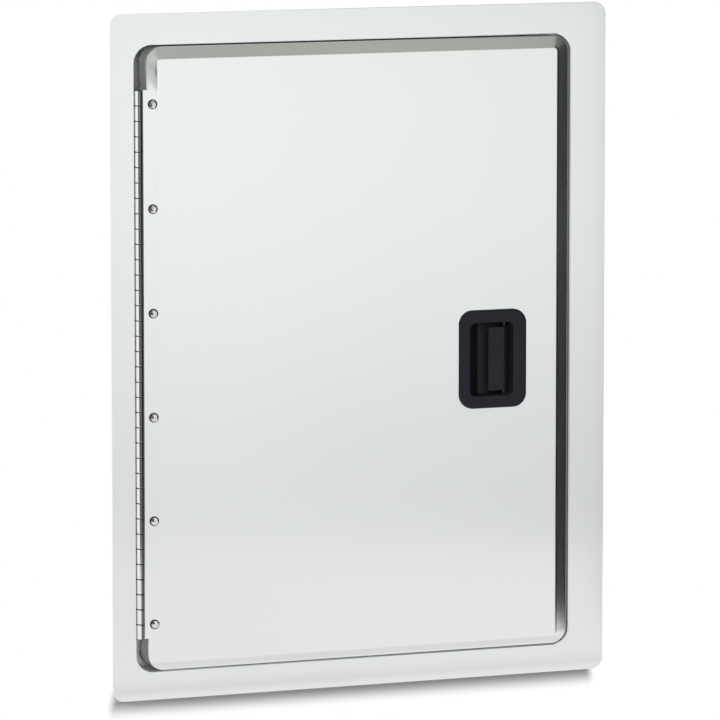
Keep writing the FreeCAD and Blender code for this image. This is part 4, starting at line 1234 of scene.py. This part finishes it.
def make_floor():
    """A plain pale table top that the frame stands on, white but for the frame's shadow."""
    bm = bmesh.new()
    bmesh.ops.create_grid(bm, x_segments=1, y_segments=1, size=FLOOR_REACH)
    place = Matrix.Translation(Vector((0, 0, FRAME_BOTTOM * MM - FLOOR_GAP)))
    bmesh.ops.transform(bm, matrix=place, verts=bm.verts)
    floor = finished(bm, "floor")
    material, graph = finish_of("pale_table")
    x, y, _ = graph.parts(graph.place())

    # Matt round the frame's foot, where the shadow falls, and white past it
    across = x - SHADOW_SHEAR * y
    beside = graph.math("MAXIMUM", SHADOW_LEFT - across, across - SHADOW_RIGHT)
    beside = graph.math("MAXIMUM", beside * SHADOW_SIDE_FADE, 0.0)
    before = graph.math("MAXIMUM", -y, y - SLEEVE_BACK * MM)
    before = graph.math("MAXIMUM", before, 0.0)
    past_shadow = graph.step(graph.length(beside, before), 0.0, SHADOW_REACH)
    matt = graph.add("ShaderNodeBsdfDiffuse", None, {"Color": rgba([FLOOR_SHADE] * 3)})
    lit = graph.either(past_shadow, matt, glow(graph, 1.0))

    # What polished metal sees: a band of painted shadow near the frame, and dark painted to the right of the frame
    level = FLOOR_MIRRORED - FLOOR_BAND * graph.window(before, *FLOOR_BAND_PLACE)
    past_frame = graph.step(x + DARK_FLOOR_SHEAR * y, *DARK_FLOOR_RIGHT)
    past_frame = past_frame * graph.step(-y, *DARK_FLOOR_BEFORE)
    level = graph.paint(level, past_frame, DARK_FLOOR)
    mirrored = glow(graph, level, FLOOR_TINT)

    [glossy] = ray_kinds(graph, "Glossy")
    seen = graph.either(seen_directly(graph), matt, lit)
    show(graph, graph.either(glossy, seen, mirrored))
    dress(floor, material)
    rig.stage(floor)


def only_mirrored(thing):
    """A card or flag that polished metal reflects, and nothing else meets."""
    thing.visible_camera = False
    thing.visible_diffuse = False
    thing.visible_shadow = False
    thing.visible_transmission = False
    thing.visible_volume_scatter = False
    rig.stage(thing)


def make_cards():
    """A round wall of pale cards with dark gaps between them, close in front of the door."""
    bm = bmesh.new()
    feet, heads = [], []
    for n in range(CARD_STEPS + 1):
        angle = math.radians(CARD_FROM + (CARD_TO - CARD_FROM) * n / CARD_STEPS)
        x, y = CARD_RADIUS * math.sin(angle), -CARD_RADIUS * math.cos(angle)
        feet.append(bm.verts.new((x, y, FRAME_BOTTOM * MM)))
        heads.append(bm.verts.new((x, y, CARD_HEIGHT)))
    for n in range(CARD_STEPS):
        bm.faces.new((feet[n], feet[n + 1], heads[n + 1], heads[n]))
    wall = finished(bm, "cards")
    material, graph = finish_of("card_white")
    x, y, z = graph.parts(graph.place())
    turn = graph.math("ARCTAN2", x, -y) * (180 / math.pi)

    above_key = graph.step(z, *KEY_TOP)
    above_near_left = graph.step(z, *NEAR_LEFT_TOP)
    key = KEY_LEVEL - KEY_TURN_LOSS * graph.step(turn, *KEY_TURN)
    key = key - KEY_FOOT_LOSS * (1 - graph.step(z, *KEY_FOOT))
    level = WALL_LEVEL + WALL_HEAD_GAIN * graph.step(z, *WALL_HEAD)
    for sides, mask, over in (
        (KEY_CARD, 1 - above_key, key),
        (LEFT_GAP, 1.0, LEFT_GAP_LEVEL),
        (NEAR_LEFT, 1 - above_near_left, NEAR_LEFT_FOOT_LEVEL),
        (NEAR_LEFT, above_near_left, NEAR_LEFT_HEAD_LEVEL),
        (SIDE_CARD, 1.0, SIDE_CARD_LEVEL),
        (RIGHT_GAP, 1.0, RIGHT_GAP_LEVEL),
        (RIGHT_FOOT, 1 - above_key, RIGHT_FOOT_LEVEL),
        (RIGHT_HEAD, above_key, RIGHT_HEAD_LEVEL),
    ):
        level = graph.paint(level, graph.window(turn, *sides) * mask, over)
    tint = graph.blend(graph.step(z, *TINT_RISE), rgba(FOOT_TINT), rgba(MIDDLE_TINT))
    tint = graph.blend(above_key, tint, rgba(HEAD_TINT))
    show(graph, glow(graph, level, tint))
    dress(wall, material)
    only_mirrored(wall)


def make_flag():
    """A black flag at the latch side, which the door's right border mirrors."""
    bm = bmesh.new()
    low, high = FRAME_BOTTOM * MM, CARD_HEIGHT
    (x0, y0), (x1, y1) = FLAG_NEAR, FLAG_FAR
    corners = [(x0, y0, low), (x1, y1, low), (x1, y1, high), (x0, y0, high)]
    bm.faces.new([bm.verts.new(corner) for corner in corners])
    flag = finished(bm, "flag")
    material, graph = finish_of("flag_black")
    show(graph, glow(graph, FLAG_LEVEL))
    dress(flag, material)
    only_mirrored(flag)


def make_trap():
    """A grey glowing ring of painted shade at the sleeve's back, which only polished metal mirrors, so that no white
    is mirrored past the stops' ends.
    """
    inner = outline(
        OPEN_LEFT + TRAP_WIDTH,
        OPEN_RIGHT - TRAP_WIDTH,
        OPEN_BOTTOM + TRAP_WIDTH,
        OPEN_TOP - TRAP_WIDTH,
        TRAP_CORNER,
        TRAP_Y,
    )
    bm = bmesh.new()
    add_rings(bm, [opening_ring(-TRAP_GAP, TRAP_Y), inner], ends="open")
    trap = finished(bm, "trap")
    material, graph = finish_of("trap_grey")
    show(graph, glow(graph, TRAP_LEVEL))
    dress(trap, material)
    only_mirrored(trap)


def make_lamp(name, place, aim, size, power):
    """A soft lamp that no metal mirrors."""
    data = bpy.data.lights.new(name, "AREA")
    data.shape = "RECTANGLE"
    data.size, data.size_y = size
    data.energy = power
    lamp = bpy.data.objects.new(name, data)
    lamp.location = place
    way = Vector(aim) - Vector(place)
    lamp.rotation_euler = way.to_track_quat("-Z", "Y").to_euler()
    lamp.visible_glossy = False
    bpy.context.scene.collection.objects.link(lamp)


bpy.context.scene.view_settings.view_transform = "Standard"
make_camera()
make_world()
make_floor()
make_cards()
make_flag()
make_trap()
make_lamp("overhead", *OVERHEAD)
make_lamp("front_fill", *FRONT_FILL)

# ---- pieces -----------------------------------------------------------------------------

frame_sheet = make_frame()
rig.ride(frame_sheet, "frame")
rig.replaces(frame_sheet, "trim_frame")
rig.slot(frame_sheet, "frame_steel")

skin = make_skin()
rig.ride(skin, "door")
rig.replaces(skin, "door_pan")
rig.slot(skin, "door_steel")

surround = make_latch_surround()
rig.ride(surround, "door")
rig.replaces(surround, "latch_bezel")
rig.slot(surround, "latch_black")

frame_half, door_half = make_hinge()
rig.ride(frame_half, "frame")
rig.replaces(frame_half, "hinge_frame_leaf")
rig.slot(frame_half, "hinge_steel")
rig.ride(door_half, "door")
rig.replaces(door_half, "hinge_door_leaf")
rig.slot(door_half, "hinge_steel")

door_rivets = make_door_rivets()
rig.ride(door_rivets, "door")
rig.replaces(door_rivets, "door_rivets")
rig.slot(door_rivets, "rivet_steel")
frame_rivets = make_frame_rivets()
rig.ride(frame_rivets, "frame")
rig.replaces(frame_rivets, "frame_leaf_rivets")
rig.slot(frame_rivets, "rivet_steel")

hinge_side_stop = make_hinge_side_stop()
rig.ride(hinge_side_stop, "frame")
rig.replaces(hinge_side_stop, "hinge_side_stop")
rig.slot(hinge_side_stop, "inner_steel")

# Nodes shown by a copy with eased edges: its body, finish, slot and the edge's width
COPIES = {
    "latch_paddle": ("paddle", LATCH_BLACK, "latch_black", 0.0),
    "door_liner": ("door", INNER_STEEL, "inner_steel", THIN_EDGE),
    "latch_housing": ("door", LATCH_BLACK, "latch_black", SOFT_EDGE),
    "latch_bolt": ("bolt", BOLT_BLACK, "bolt_black", SOFT_EDGE),
    "top_stop": ("frame", INNER_STEEL, "inner_steel", FINE_EDGE),
    "bottom_stop": ("frame", INNER_STEEL, "inner_steel", FINE_EDGE),
    "latch_side_stop": ("frame", INNER_STEEL, "inner_steel", FINE_EDGE),
    "strike_plate": ("frame", INNER_STEEL, "inner_steel", FINE_EDGE),
    "bumpers": ("frame", SEAL_RUBBER, "seal_rubber", SOFT_EDGE),
}
for node, (body, finish, slot, edge) in COPIES.items():
    piece = copied(node, node + "_piece", edge)
    dress(piece, finish)
    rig.ride(piece, body)
    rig.replaces(piece, node)
    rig.slot(piece, slot)

# Nodes that show as the model has them
PLAIN = {
    "strike_screws": FASTENER_STEEL,
    "hinge_pin": PIN_STEEL,
    "liner_rivets": RIVET_STEEL,
    "door_stiffeners": INNER_STEEL,
    "latch_gasket": SEAL_RUBBER,
    "latch_screws": FASTENER_STEEL,
    "paddle_pin": PIN_STEEL,
    "paddle_spring": SPRING_STEEL,
    "bolt_spring": SPRING_STEEL,
}
for node, finish in PLAIN.items():
    dress(frame["nodes"][node], finish)

with open("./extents.json", "w") as sizes:
    boxes = {
        "cad": [list(corner) for corner in cad_box],
        "visual": [list(corner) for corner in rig.bounds()],
    }
    json.dump(boxes, sizes)
